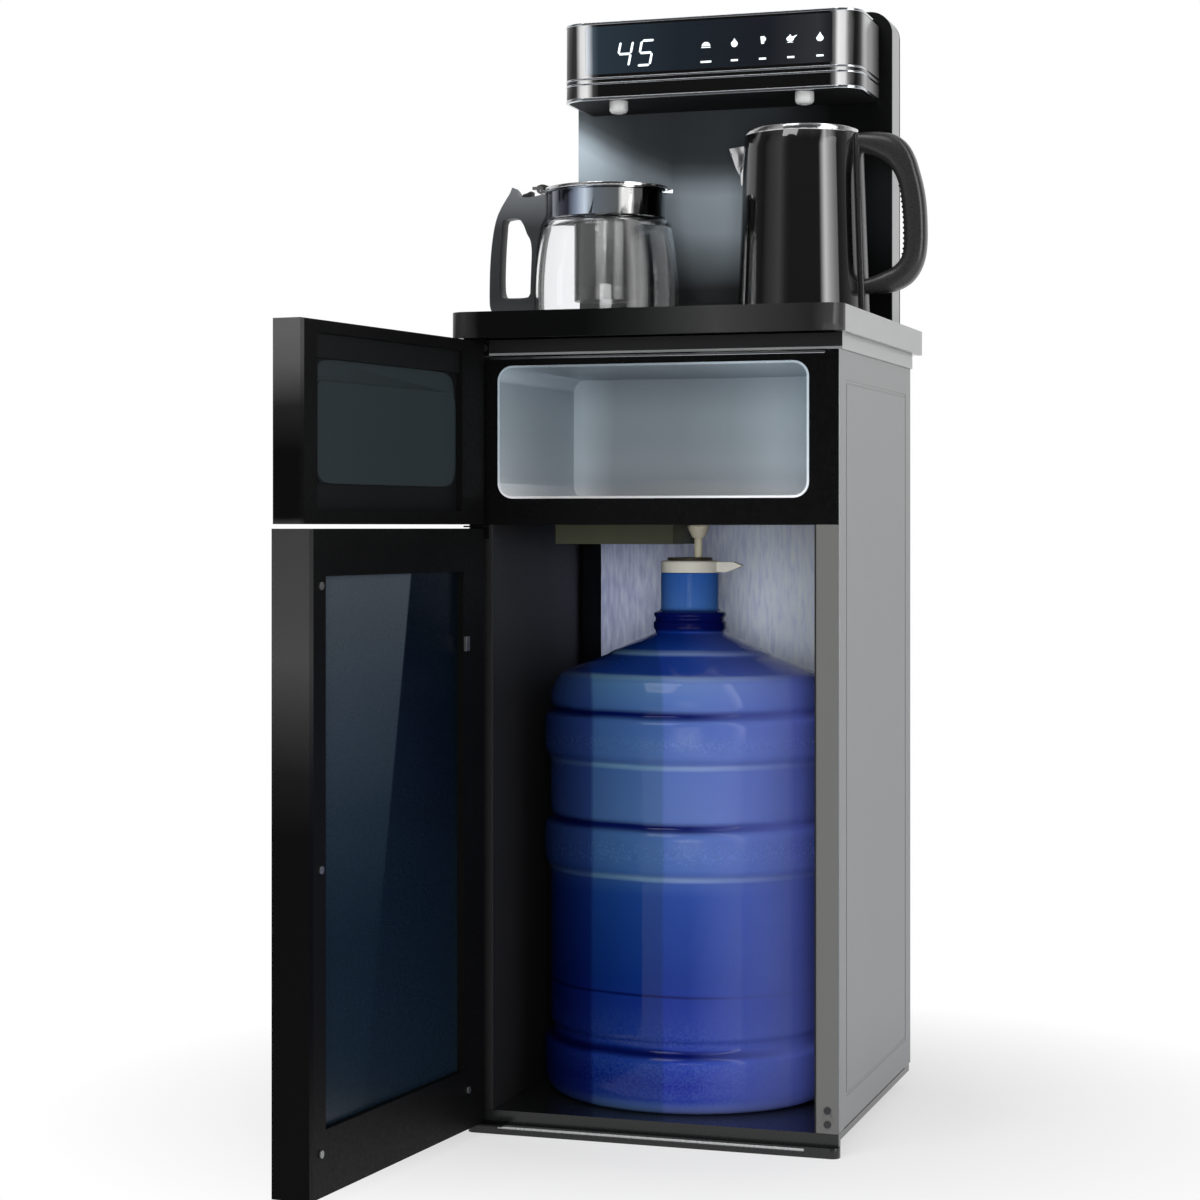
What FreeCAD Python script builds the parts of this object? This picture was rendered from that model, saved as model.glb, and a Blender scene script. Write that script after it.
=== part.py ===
"""Bottom load water cooler with a kettle and a teapot: one STEP file for each sub-part.

Millimetres. The origin is on the floor under the middle of the cabinet, +Z up, the front faces -Y.
Each door is built closed and then turned about its hinge pin to the open angle it rests at.
"""
import FreeCAD
import Part
import math
import os

Vector = FreeCAD.Vector
UP = Vector(0, 0, 1)

# ---------------------------------------------------------------- clearances
TOUCH_GAP = 0.3          # between curved faces of pieces that only lie near each other
FIT_GAP = 0.2            # round a piece dropped into a pocket
RUNNING_GAP = 0.05       # radial clearance of a pin in its bore
DOOR_GAP = 2.0           # cabinet front to the inner face of a closed door
DOOR_SPLIT = 3.6         # height between the two doors

# ---------------------------------------------------------------- cabinet
BOTTLE_SIDE_GAP = 6.5     # bottle to the nearer lining sheet
CABINET_DEPTH = 336.0
SHEET = 1.2
PANEL_BOTTOM = 22.0
PLINTH_INSET = 24.0
PLINTH_WALL = 6.0
PLINTH_HEIGHT = 14.0
DECK_THICKNESS = 6.0
LIP_REACH = 8.0
LIP_HEIGHT = 9.0
LIP_DEPTH = 16.0
LIP_CORNER = 7.0
FOOT_RADIUS = 14.0
STRIP_HEIGHT = 4.5
STRIP_PROUD = 0.6
STRIP_END = 30.0
STRIP_BASE = 3.0
POST_WIDTH = 19.8
POST_DEPTH = 22.0
POST_WALL = 1.5
INNER_WALL = 1.5
DUCT_LENGTH = 61.8
DUCT_WIDTH = 5.5
BACK_WALL_INSET = 6.0
EMBOSS_MARGIN = 26.0
EMBOSS_WIDTH = 3.0
EMBOSS_DEPTH = 0.5
COVER_SCREW_INSET = 30.0
POST_SCREW_LOW = 8.0
POST_SCREW_HIGH = 20.0
VENT_COUNT = 7
VENT_PITCH = 12.0
VENT_LENGTH = 90.0
VENT_HEIGHT = 4.0
VENT_ROUNDING = 0.45      # share of the slot height
VENT_RISE = 38.5

# ---------------------------------------------------------------- storage compartment
DIVIDER_THICKNESS = 4.0
FRAME_DEPTH = 8.0
FRAME_TOP_GAP = 1.5
STORE_BORDER = 26.1
RIB_HEIGHT = 19.5
STORE_TOP_MARGIN = 9.4
STORE_HEIGHT = 119.6
STORE_CORNER = 14.0
STORE_DEPTH = 228.0
LINER_WALL = 2.0
LINER_PROUD = 0.6
RIB_SPACING = 180.0
RIB_WIDTH = 5.0
TRIM_HEIGHT = 2.0
TRIM_PROUD = 0.8

# ---------------------------------------------------------------- worktop
RAIL_HEIGHT = 14.0
RAIL_WALL = 3.0
RAIL_PROUD = 2.0
WORKTOP_THICKNESS = 23.5
WORKTOP_OVER_FRONT = 34.5
WORKTOP_OVER_SIDE = 8.6
WORKTOP_OVER_BACK = 16.3
WORKTOP_WALL = 4.0
WORKTOP_CORNER = 17.0
SIDE_TRIM = 2.0

# ---------------------------------------------------------------- column and head
COLUMN_INSET = 19.9
COLUMN_DEPTH = 42.0
COLUMN_OVER_BACK = 6.0
COLUMN_HEIGHT = 308.0
COLUMN_CORNER = 22.0
COLUMN_SKIN = 2.5
HEAD_INSET = 12.7
HEAD_REACH = 100.0
HEAD_CLEARANCE = 220.0
HEAD_STEP = 12.5
HEAD_CORNER = 23.0
HEAD_WALL = 2.5
BAND_WIDTH = 3.0
BAND_PROUD = 0.5
BAND_BOTTOM = 3.0
LINE_HEIGHT = 2.0
LOWER_LINE_RISE = 15.0
UPPER_LINE_RISE = 20.0
BAND_TOP = 2.5
GLASS_MARGIN = 2.0
GLASS_RISE = 25.0
GLASS_HEIGHT = 46.0
GLASS_POCKET = 1.2
GLASS_PROUD = 0.3
NOZZLE_INSET = 54.5
NOZZLE_AHEAD = 86.0
NOZZLE_RADIUS = 9.0
NOZZLE_DROP = 12.0
NOZZLE_BORE = 3.0
NOZZLE_STEM = 5.5
STEM_HEIGHT = 9.0
TUBE_RADIUS = 3.5
TUBE_BEND = 15.0
TUBE_RISE = 40.0
TUBE_SPREAD = 30.0
TUBE_CLEARANCE = 2.5
BOARD_THICKNESS = 1.6
STANDOFF = 3.0

# ---------------------------------------------------------------- doors
PIN_INSET = 8.0          # hinge pin axis from the end of the door
PIN_AHEAD = 12.0         # hinge pin axis in front of the cabinet
PIN_RADIUS = 2.5
PIN_LENGTH = 8.0
DOOR_SHORT = 0.5         # free end short of the cabinet side
DOOR_EDGE_RADIUS = 7.5
UPPER_DOOR_LIFT = 0.2    # above the underside of the shelf
UPPER_DOOR_DROP = 2.2    # below the worktop
UPPER_DOOR_THICKNESS = 25.0
UPPER_DOOR_ANGLE_DEG = 96.9
LOWER_DOOR_LIFT = 0.5    # above the bottom bracket
LOWER_DOOR_THICKNESS = 34.0
LOWER_DOOR_ANGLE_DEG = 95.5
DOOR_GLASS = 4.0
DOOR_SKIN = 2.0
DOOR_RIM = 3.0
LINER_RECESS = 6.0
LINER_THICKNESS = 2.0
DOOR_BORDER_FREE = 28.0
DOOR_BORDER_HINGE = 50.0
LOWER_BORDER_TOP = 38.0
LOWER_BORDER_BOTTOM = 53.0
UPPER_BORDER_TOP = 10.0
UPPER_BORDER_BOTTOM = 12.0
UPPER_LEDGE = 20.0
UPPER_LEDGE_RISE = 3.0
WINDOW_RISE = 1.5
WINDOW_MARGIN_SIDE = 5.0
WINDOW_LIFT = 32.8
WINDOW_HEIGHT = 83.0
WINDOW_CORNER = 12.0
BRACKET_WIDTH = 18.0
BRACKET_SHEET = 1.5
BRACKET_HEIGHT = 22.0
BRACKET_NOSE = 7.0
CLIP_LIFT = 425.0
CLIP_ALONG = 43.0
CLIP_SIZE = 13.0
CLIP_PROUD = 3.0

# ---------------------------------------------------------------- screws
SCREW_HEAD_RADIUS = 3.2
SCREW_HEAD_HEIGHT = 1.4
SCREW_RADIUS = 1.5
SCREW_LENGTH = 5.0
BRACKET_SCREW_OFFSET = 8.0
FOOT_SCREW_NEAR = 6.0
FOOT_SCREW_FAR = 14.0

# ---------------------------------------------------------------- bottle and its suction line
BOTTLE_OFFSET = 5.0      # bottle axis to the left of the middle
BOTTLE_Y = -12.0
BOTTLE_RADIUS = 131.0
BULGE = 5.0
GROOVE = 3.0
BOTTLE_WALL = 2.0
NECK_RADIUS = 27.3
NECK_SPIGOT = 25.0
COLLAR_RADIUS = 34.2
CAP_THICKNESS = 3.0
CAP_DISC_RADIUS = 21.0
CAP_DISC_THICKNESS = 3.0
CAP_TAB_REACH = 52.0
CAP_TAB_WIDTH = 22.0
CAP_TAB_THICKNESS = 6.0
DIP_TUBE_RADIUS = 4.5
DIP_TUBE_WALL = 1.2
DIP_TUBE_LIFT = 10.0
HOSE_OFFSET = 8.0
HOSE_RADIUS = 3.8
HOSE_WALL = 1.2
PLUG_HEIGHT = 12.0
PLUG_TOP_RADIUS = 10.0
PLUG_FOOT_RADIUS = 5.5
SOCKET_RADIUS = 8.0
SOCKET_HEIGHT = 18.0

# heights of the bottle's bands, from the foot up to the top of the neck
BASE_CORNER = 22.0
BASE_BULGE_RISE = 52.0
BASE_GROOVE_RISE = 16.0
LOWER_BODY_RISE = 148.0
LOWER_BULGE_RISE = 36.0
UPPER_BODY_RISE = 66.0
UPPER_BULGE_RISE = 40.0
SHOULDER_FOOT_RISE = 6.0
SHOULDER_EDGE_RISE = 25.0
SHOULDER_EDGE_RADIUS = 123.0
SHOULDER_RIDGE_RISE = 20.0
SHOULDER_RIDGE_RADIUS = 75.0
CONE_RISE = 21.0
NECK_COLLAR_RISE = 16.0
NECK_RISE = 37.0
SPIGOT_RISE = 8.5
HOSE_LENGTH = 18.2
STEP_RUN = 5.0

# ---------------------------------------------------------------- pump
PUMP_COVER_WIDTH = 114.0
PUMP_COVER_DEPTH = 90.0
PUMP_COVER_HEIGHT = 18.0
PUMP_COVER_GAP = 4.0
PUMP_COVER_FRONT = -58.0
PUMP_COVER_WALL = 2.0
MOTOR_RADIUS = 17.0
MOTOR_LENGTH = 56.0
MOTOR_LEFT = -90.0
MOTOR_GAP = 24.0
MOTOR_LIFT = 26.0
CHAMBER_RADIUS = 21.0
CHAMBER_LENGTH = 18.0
CHAMBER_WALL = 3.0
ROTOR_RADIUS = 15.0
ROTOR_SHAFT = 2.5
ROTOR_BLADES = 6
BLADE_THICKNESS = 2.0
BLADE_SIDE_GAP = 2.0
SHAFT_REACH = 20.0

# ---------------------------------------------------------------- kettle
KETTLE_OFFSET = 3.0
KETTLE_FOOT_RADIUS = 60.5
KETTLE_TOP_RADIUS = 54.0
KETTLE_HEIGHT = 174.5
KETTLE_WALL = 2.0
KETTLE_FLOOR = 9.0
KETTLE_BASE_MARGIN = 1.5
KETTLE_BASE_HEIGHT = 3.0
COUPLER_RADIUS = 7.0
COUPLER_HEIGHT = 5.0
COUPLER_RECESS_RADIUS = 28.0
COUPLER_RECESS_DEPTH = 6.5
RIM_HEIGHT = 4.5
RIM_STEP = 2.5
RIM_WIDTH = 3.5
RIM_LEDGE = 3.5
LID_THICKNESS = 3.5
LID_HOLE = 9.0
SPOUT_TOP_DROP = 13.0
SPOUT_HEIGHT = 34.0
SPOUT_REACH = 16.0
SPOUT_WIDTH = 26.0
SPOUT_WALL = 1.5
KETTLE_GRIP_WIDTH = 24.0
KETTLE_GRIP_REACH = 119.5
KETTLE_GRIP_THICKNESS = 21.5
KETTLE_GRIP_TOP = 176.5
KETTLE_GRIP_BOTTOM = 24.0
KETTLE_ARM_HEIGHT = 16.0
KETTLE_ARM_SLOPE = 10.0
KETTLE_BEND_UPPER = 68.0
KETTLE_BEND_LOWER = 38.0
KETTLE_BEND_WIDTH = 32.0
GRIP_BOW = 1.5
SPINE_THICKNESS = 4.0
SPINE_FOOT = 3.0
GRIP_RIB_COUNT = 14
GRIP_RIB_PITCH = 5.0
GRIP_RIB_DEPTH = 1.6
GRIP_RIB_HEIGHT = 2.2

# ---------------------------------------------------------------- teapot
TEAPOT_OFFSET = 9.0
TEAPOT_AHEAD = 10.0
WARMER_RADIUS = 63.0
WARMER_HEIGHT = 1.5
TEAPOT_FOOT_RADIUS = 62.0
TEAPOT_RADIUS = 69.0
TEAPOT_NECK_RADIUS = 54.5
TEAPOT_BELLY = 40.0
TEAPOT_SHOULDER = 8.0
TEAPOT_NECK_BOTTOM = 102.5
TEAPOT_NECK_TOP = 127.0
TEAPOT_GLASS = 2.5
FOOT_CORNER = 6.0
COLLAR_WALL = 2.6
COLLAR_HEIGHT = 25.0
COLLAR_FLANGE = 2.5
COLLAR_FLANGE_HEIGHT = 2.0
LIP_LENGTH = 9.0
LIP_WIDTH = 16.0
LIP_THICKNESS = 4.0
INFUSER_RADIUS = 31.5
INFUSER_WALL = 1.0
INFUSER_DEPTH = 103.0
INFUSER_FLANGE = 1.2
POUR_SLOT_COUNT = 8
POUR_SLOT_RADIUS = 3.0
TEAPOT_LID_THICKNESS = 3.0
LID_DOME = 6.0
LID_DOME_RADIUS = 44.0
LID_AXIS_GAP = 2.2
LID_AXIS_RISE = 3.5
LID_BARREL_RADIUS = 3.5
LID_BARREL_LENGTH = 14.0
LID_PIN_RADIUS = 1.5
LID_TAB_REACH = 8.0
LID_TAB_WIDTH = 14.0
LID_TAB_THICKNESS = 3.0
EAR_THICKNESS = 3.0
TEAPOT_GRIP_WIDTH = 20.0
TEAPOT_GRIP_STANDOFF = 48.0
TEAPOT_GRIP_THICKNESS = 11.0
TEAPOT_GRIP_TOP = 127.5
TEAPOT_GRIP_SHOULDER = 112.0
TEAPOT_GRIP_WAIST = 45.0
TEAPOT_GRIP_BOTTOM = 12.5
TEAPOT_ARM_TOP = 105.5
TEAPOT_ARM_BOTTOM = 29.0
TEAPOT_GRIP_CORNER = 9.0
HORN_INSET = 23.5
HORN_RISE = 9.5
HORN_WIDTH = 3.0
HORN_LENGTH = 10.0
WEB_TAPER = 11.0
WEB_THICKNESS = 6.0
WEB_POINT_HEIGHT = 84.0

# ---------------------------------------------------------------- power
INLET_INSET = 58.8
INLET_RISE = 18.5
INLET_RADIUS = 11.0
INLET_BORE = 4.0
INLET_DEPTH = 12.0
INLET_PROUD = 6.0
POWER_BOARD_WIDTH = 130.0
POWER_BOARD_HEIGHT = 90.0
POWER_BOARD_RISE = 62.0
CAPACITOR_RADIUS = 8.0
CAPACITOR_HEIGHT = 18.0

# ---------------------------------------------------------------- worked out from the sizes above
BOTTLE_X = -BOTTLE_OFFSET
BOTTLE_HALF = BOTTLE_RADIUS + BULGE + BOTTLE_OFFSET + BOTTLE_SIDE_GAP
WALL_FACE = BOTTLE_HALF
POST_INNER = WALL_FACE + INNER_WALL
INSIDE_SHEET = POST_INNER + POST_WIDTH
HALF_WIDTH = INSIDE_SHEET + SHEET
CABINET_WIDTH = 2 * HALF_WIDTH
HALF_DEPTH = CABINET_DEPTH / 2
FRONT = -HALF_DEPTH
BACK = HALF_DEPTH
STRIP_LENGTH = CABINET_WIDTH - 2 * STRIP_END
DECK_TOP = PLINTH_HEIGHT + DECK_THICKNESS
COVER_FACE = BACK - SHEET
BACK_WALL_FACE = BACK - BACK_WALL_INSET - SHEET

BOTTLE_FLOOR = DECK_TOP
BASE_BULGE_TOP = BASE_BULGE_RISE
BASE_GROOVE_TOP = BASE_BULGE_TOP + BASE_GROOVE_RISE
LOWER_BULGE_BOTTOM = BASE_GROOVE_TOP + LOWER_BODY_RISE
LOWER_BULGE_TOP = LOWER_BULGE_BOTTOM + LOWER_BULGE_RISE
UPPER_BULGE_BOTTOM = LOWER_BULGE_TOP + UPPER_BODY_RISE
UPPER_BULGE_TOP = UPPER_BULGE_BOTTOM + UPPER_BULGE_RISE
SHOULDER_BOTTOM = UPPER_BULGE_TOP + SHOULDER_FOOT_RISE
SHOULDER_EDGE = SHOULDER_BOTTOM + SHOULDER_EDGE_RISE
SHOULDER_RIDGE = SHOULDER_EDGE + SHOULDER_RIDGE_RISE
COLLAR_BOTTOM = SHOULDER_RIDGE + CONE_RISE
COLLAR_TOP = COLLAR_BOTTOM + NECK_COLLAR_RISE
NECK_SHOULDER = COLLAR_TOP + NECK_RISE
NECK_TOP = NECK_SHOULDER + SPIGOT_RISE
CAP_TOP = BOTTLE_FLOOR + NECK_TOP + CAP_THICKNESS
HOSE_X = BOTTLE_X + HOSE_OFFSET
PLUG_TOP = CAP_TOP + CAP_DISC_THICKNESS + HOSE_LENGTH + PLUG_HEIGHT

DIVIDER_BASE = PLUG_TOP + TOUCH_GAP
DIVIDER_TOP = DIVIDER_BASE + DIVIDER_THICKNESS
STORE_BOTTOM = DIVIDER_TOP + RIB_HEIGHT
STORE_WIDTH = 2 * (INSIDE_SHEET - STORE_BORDER)
PANEL_TOP = STORE_BOTTOM + STORE_HEIGHT + STORE_TOP_MARGIN
FRAME_TOP = PANEL_TOP - FRAME_TOP_GAP
VENT_BASE = STORE_BOTTOM + VENT_RISE
INLET_X = INSIDE_SHEET - INLET_INSET
INLET_Z = STORE_BOTTOM + INLET_RISE
PUMP_COVER_RIGHT = HOSE_X - SOCKET_RADIUS - PUMP_COVER_GAP
MOTOR_Y = FRONT + STORE_DEPTH + CHAMBER_RADIUS + MOTOR_GAP

WORKTOP_BOTTOM = PANEL_TOP + RAIL_HEIGHT
WORKTOP_TOP = WORKTOP_BOTTOM + WORKTOP_THICKNESS
WORKTOP_HALF = HALF_WIDTH + WORKTOP_OVER_SIDE
WORKTOP_FRONT = FRONT - WORKTOP_OVER_FRONT
WORKTOP_BACK = BACK + WORKTOP_OVER_BACK
COLUMN_HALF = WORKTOP_HALF - COLUMN_INSET
COLUMN_BACK = BACK + COLUMN_OVER_BACK
COLUMN_FRONT = COLUMN_BACK - COLUMN_DEPTH
COLUMN_TOP = WORKTOP_TOP + COLUMN_HEIGHT
POWER_BOARD_BASE = WORKTOP_TOP + POWER_BOARD_RISE
HEAD_HALF = COLUMN_HALF - HEAD_INSET
HEAD_FRONT = COLUMN_FRONT - HEAD_REACH
HEAD_BOTTOM = WORKTOP_TOP + HEAD_CLEARANCE
HEAD_TOP = COLUMN_TOP - HEAD_STEP
GLASS_WIDTH = 2 * (HEAD_HALF - HEAD_CORNER - GLASS_MARGIN)
GLASS_BOTTOM = HEAD_BOTTOM + GLASS_RISE
NOZZLE_SPREAD = 2 * (HEAD_HALF - NOZZLE_INSET)
NOZZLE_Y = COLUMN_FRONT - NOZZLE_AHEAD
TUBE_Y = (COLUMN_FRONT + COLUMN_BACK) / 2
TUBE_LEVEL = HEAD_BOTTOM + TUBE_RISE
TUBE_HOLE = TUBE_RADIUS + TUBE_CLEARANCE

HINGE_X = -HALF_WIDTH + PIN_INSET
HINGE_Y = FRONT - PIN_AHEAD
DOOR_END = -HALF_WIDTH
DOOR_FREE = HALF_WIDTH - DOOR_SHORT
DOOR_INNER = FRONT - DOOR_GAP
UPPER_DOOR_BOTTOM = DIVIDER_BASE + UPPER_DOOR_LIFT
UPPER_DOOR_TOP = WORKTOP_BOTTOM - UPPER_DOOR_DROP
LOWER_DOOR_BOTTOM = LIP_HEIGHT + BRACKET_SHEET + LOWER_DOOR_LIFT
LOWER_DOOR_TOP = UPPER_DOOR_BOTTOM - DOOR_SPLIT
WINDOW_BOTTOM = UPPER_DOOR_BOTTOM + WINDOW_LIFT
CLIP_HEIGHT = LOWER_DOOR_BOTTOM + CLIP_LIFT

KETTLE_X = NOZZLE_SPREAD / 2 - KETTLE_OFFSET
KETTLE_Y = NOZZLE_Y
KETTLE_BOTTOM = WORKTOP_TOP + KETTLE_BASE_HEIGHT
KETTLE_RIM = KETTLE_BOTTOM + KETTLE_HEIGHT
KETTLE_BASE_RADIUS = KETTLE_FOOT_RADIUS + KETTLE_BASE_MARGIN
TEAPOT_X = -NOZZLE_SPREAD / 2 - TEAPOT_OFFSET
TEAPOT_Y = NOZZLE_Y - TEAPOT_AHEAD
TEAPOT_BOTTOM = WORKTOP_TOP + WARMER_HEIGHT
TEAPOT_GRIP_REACH = TEAPOT_RADIUS + TEAPOT_GRIP_STANDOFF
HORN_REACH = TEAPOT_GRIP_REACH - HORN_INSET
WEB_POINT_REACH = TEAPOT_RADIUS + WEB_THICKNESS
LID_SEAT = TEAPOT_BOTTOM + TEAPOT_NECK_TOP + INFUSER_FLANGE + COLLAR_FLANGE_HEIGHT
LID_EDGE = TEAPOT_NECK_RADIUS + FIT_GAP + COLLAR_WALL + COLLAR_FLANGE
LID_AXIS_X = TEAPOT_X - LID_EDGE - LID_AXIS_GAP - LID_BARREL_RADIUS
LID_AXIS_Z = LID_SEAT + LID_AXIS_RISE
SIDES = (-1, 1)


# ================================================================ shape helpers
def box(x0, x1, y0, y1, z0, z1):
    return Part.makeBox(x1 - x0, y1 - y0, z1 - z0, Vector(x0, y0, z0))


def side_box(side, x0, x1, y0, y1, z0, z1):
    """A box given for the right-hand side, mirrored to the left where side is -1."""
    low = min(side * x0, side * x1)
    high = max(side * x0, side * x1)
    return box(low, high, y0, y1, z0, z1)


def post(x, y, z0, z1, radius):
    return Part.makeCylinder(radius, z1 - z0, Vector(x, y, z0), UP)


def rod_y(x, z, y0, y1, radius):
    return Part.makeCylinder(radius, y1 - y0, Vector(x, y0, z), Vector(0, 1, 0))


def rod_x(y, z, x0, x1, radius):
    return Part.makeCylinder(radius, x1 - x0, Vector(x0, y, z), Vector(1, 0, 0))


def joined(shapes):
    first = shapes[0]
    return first.fuse(shapes[1:]).removeSplitter() if len(shapes) > 1 else first


def group(shapes):
    """Separate solids kept in one node."""
    return Part.makeCompound(shapes)


def outline(points):
    """A closed wire. A point given as ("via", p) is the middle of an arc between its neighbours."""
    edges = []
    previous = points[0]
    middle = None
    for item in list(points[1:]) + [points[0]]:
        if item[0] == "via":
            middle = item[1]
            continue
        if middle is None:
            edges.append(Part.LineSegment(previous, item).toShape())
        else:
            edges.append(Part.Arc(previous, middle, item).toShape())
        previous = item
        middle = None
    return Part.Wire(edges)


def corner_middle(x, y, dx, dy, radius):
    """The middle of a rounded corner whose arc is centred at x, y and bulges to dx, dy."""
    reach = radius / math.sqrt(2)
    return x + dx * reach, y + dy * reach


def rounded_points(x0, x1, y0, y1, radius, place):
    """Points and arc middles of a rounded rectangle; place turns two coordinates into a vector."""
    points = []
    turns = (
        ((x1 - radius, y0), (x1, y0 + radius), (x1 - radius, y0 + radius), (1, -1)),
        ((x1, y1 - radius), (x1 - radius, y1), (x1 - radius, y1 - radius), (1, 1)),
        ((x0 + radius, y1), (x0, y1 - radius), (x0 + radius, y1 - radius), (-1, 1)),
        ((x0, y0 + radius), (x0 + radius, y0), (x0 + radius, y0 + radius), (-1, -1)),
    )
    for start, end, centre, bulge in turns:
        points.append(place(*start))
        points.append(("via", place(*corner_middle(*centre, *bulge, radius))))
        points.append(place(*end))
    return points


def rounded_upright(x0, x1, y0, y1, z0, z1, radius):
    """A prism along Z with a rounded rectangle as its section."""
    wire = outline(rounded_points(x0, x1, y0, y1, radius, lambda a, b: Vector(a, b, z0)))
    return Part.Face(wire).extrude(Vector(0, 0, z1 - z0))


def rounded_forward(x0, x1, z0, z1, y0, y1, radius):
    """A prism along Y with a rounded rectangle as its section."""
    wire = outline(rounded_points(x0, x1, z0, z1, radius, lambda a, b: Vector(a, y0, b)))
    return Part.Face(wire).extrude(Vector(0, y1 - y0, 0))


def turned(points, x, y):
    """A solid of revolution about the vertical line at x, y, from points of radius and height."""
    placed = []
    for item in points:
        if item[0] == "via":
            placed.append(("via", Vector(x + item[1][0], y, item[1][1])))
        else:
            placed.append(Vector(x + item[0], y, item[1]))
    return Part.Face(outline(placed)).revolve(Vector(x, y, 0), UP, 360)


def ring(x, y, z0, z1, outer, inner):
    return post(x, y, z0, z1, outer).cut(post(x, y, z0, z1, inner))


def swept_tube(points, radius, bend):
    """A tube along straight runs joined by tangent arcs of one radius."""
    edges = []
    start = points[0]
    for before, corner, after in zip(points, points[1:], points[2:]):
        back = (before - corner).normalize()
        ahead = (after - corner).normalize()
        half = back.getAngle(ahead) / 2
        reach = bend / math.tan(half)
        first = corner + back * reach
        last = corner + ahead * reach
        centre = corner + (back + ahead).normalize() * (bend / math.sin(half))
        middle = centre + (corner - centre).normalize() * bend
        edges.append(Part.LineSegment(start, first).toShape())
        edges.append(Part.Arc(first, middle, last).toShape())
        start = last
    edges.append(Part.LineSegment(start, points[-1]).toShape())
    section = Part.Wire(Part.makeCircle(radius, points[0], points[1] - points[0]))
    return Part.Wire(edges).makePipeShell([section], True, False)


def screw_back(x, y, z):
    """A pan head screw driven towards +Y, its head seated on the plane y."""
    head = rod_y(x, z, y - SCREW_HEAD_HEIGHT, y, SCREW_HEAD_RADIUS)
    shank = rod_y(x, z, y, y + SCREW_LENGTH, SCREW_RADIUS)
    return joined([head, shank])


def screw_hole(x, y, z):
    return rod_y(x, z, y, y + SCREW_LENGTH + SHEET, SCREW_RADIUS)


# ================================================================ cabinet
def base_tray():
    """Deck the bottle stands on, a recessed plinth under it and a front lip down to the floor."""
    half = HALF_WIDTH - PLINTH_INSET
    rear = BACK - PLINTH_INSET
    front = FRONT + LIP_DEPTH - LIP_REACH
    deck = box(-INSIDE_SHEET, INSIDE_SHEET, FRONT, COVER_FACE, PLINTH_HEIGHT, DECK_TOP)
    plinth = box(-half, half, front, rear, 0, PLINTH_HEIGHT)
    hollow = box(
        -half + PLINTH_WALL, half - PLINTH_WALL,
        front, rear - PLINTH_WALL, 0, PLINTH_HEIGHT,
    )
    lip = rounded_upright(
        -HALF_WIDTH, HALF_WIDTH, FRONT - LIP_REACH, front, 0, LIP_HEIGHT, LIP_CORNER
    )
    riser = box(-INSIDE_SHEET, INSIDE_SHEET, FRONT, front, LIP_HEIGHT, PLINTH_HEIGHT)
    pocket = box(
        -STRIP_LENGTH / 2, STRIP_LENGTH / 2,
        FRONT - LIP_REACH, FRONT - LIP_REACH + STRIP_PROUD,
        STRIP_BASE, STRIP_BASE + STRIP_HEIGHT,
    )
    tray = joined([deck, plinth.cut(hollow), lip, riser]).cut(pocket)
    return tray.cut(bottom_bracket_holes())


def foot_pads():
    """Rubber pads in the corners of the plinth, flush with its rim."""
    across = HALF_WIDTH - PLINTH_INSET - PLINTH_WALL - FOOT_RADIUS - FIT_GAP
    rear = BACK - PLINTH_INSET - PLINTH_WALL - FOOT_RADIUS - FIT_GAP
    front = FRONT + LIP_DEPTH - LIP_REACH + FOOT_RADIUS + FIT_GAP
    return group([
        post(side * across, y, 0, PLINTH_HEIGHT, FOOT_RADIUS)
        for side in SIDES for y in (front, rear)
    ])


def threshold_strip():
    return box(
        -STRIP_LENGTH / 2, STRIP_LENGTH / 2,
        FRONT - LIP_REACH - STRIP_PROUD, FRONT - LIP_REACH + STRIP_PROUD,
        STRIP_BASE, STRIP_BASE + STRIP_HEIGHT,
    )


def side_panel(side):
    """Sheet steel side with a pressed rectangular groove."""
    sheet = side_box(side, INSIDE_SHEET, HALF_WIDTH, FRONT, BACK, PANEL_BOTTOM, PANEL_TOP)
    margin = EMBOSS_MARGIN
    outer = side_box(
        side, HALF_WIDTH - EMBOSS_DEPTH, HALF_WIDTH,
        FRONT + margin, BACK - margin, PANEL_BOTTOM + margin, PANEL_TOP - margin,
    )
    margin = EMBOSS_MARGIN + EMBOSS_WIDTH
    inner = side_box(
        side, HALF_WIDTH - EMBOSS_DEPTH, HALF_WIDTH,
        FRONT + margin, BACK - margin, PANEL_BOTTOM + margin, PANEL_TOP - margin,
    )
    return sheet.cut(outer.cut(inner))


def front_post(side):
    """Folded steel channel beside the lower compartment."""
    solid = side_box(
        side, POST_INNER, INSIDE_SHEET, FRONT, FRONT + POST_DEPTH, DECK_TOP, DIVIDER_BASE
    )
    hollow = side_box(
        side, POST_INNER + POST_WALL, INSIDE_SHEET - POST_WALL,
        FRONT + POST_WALL, FRONT + POST_DEPTH, DECK_TOP, DIVIDER_BASE,
    )
    channel = solid.cut(hollow)
    for x, z in post_screws(side):
        channel = channel.cut(screw_hole(x, FRONT, z))
    return channel


def post_screws(side):
    """Places of the two screws at the foot of a front post."""
    across = side * (POST_INNER + INSIDE_SHEET) / 2
    return [(across, DECK_TOP + rise) for rise in (POST_SCREW_LOW, POST_SCREW_HIGH)]


def front_posts():
    right = front_post(1)
    left = front_post(-1)
    for x, z in middle_bracket_screws():
        if z < DIVIDER_BASE:
            left = left.cut(screw_hole(x, FRONT, z))
    return group([right, left])


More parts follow.
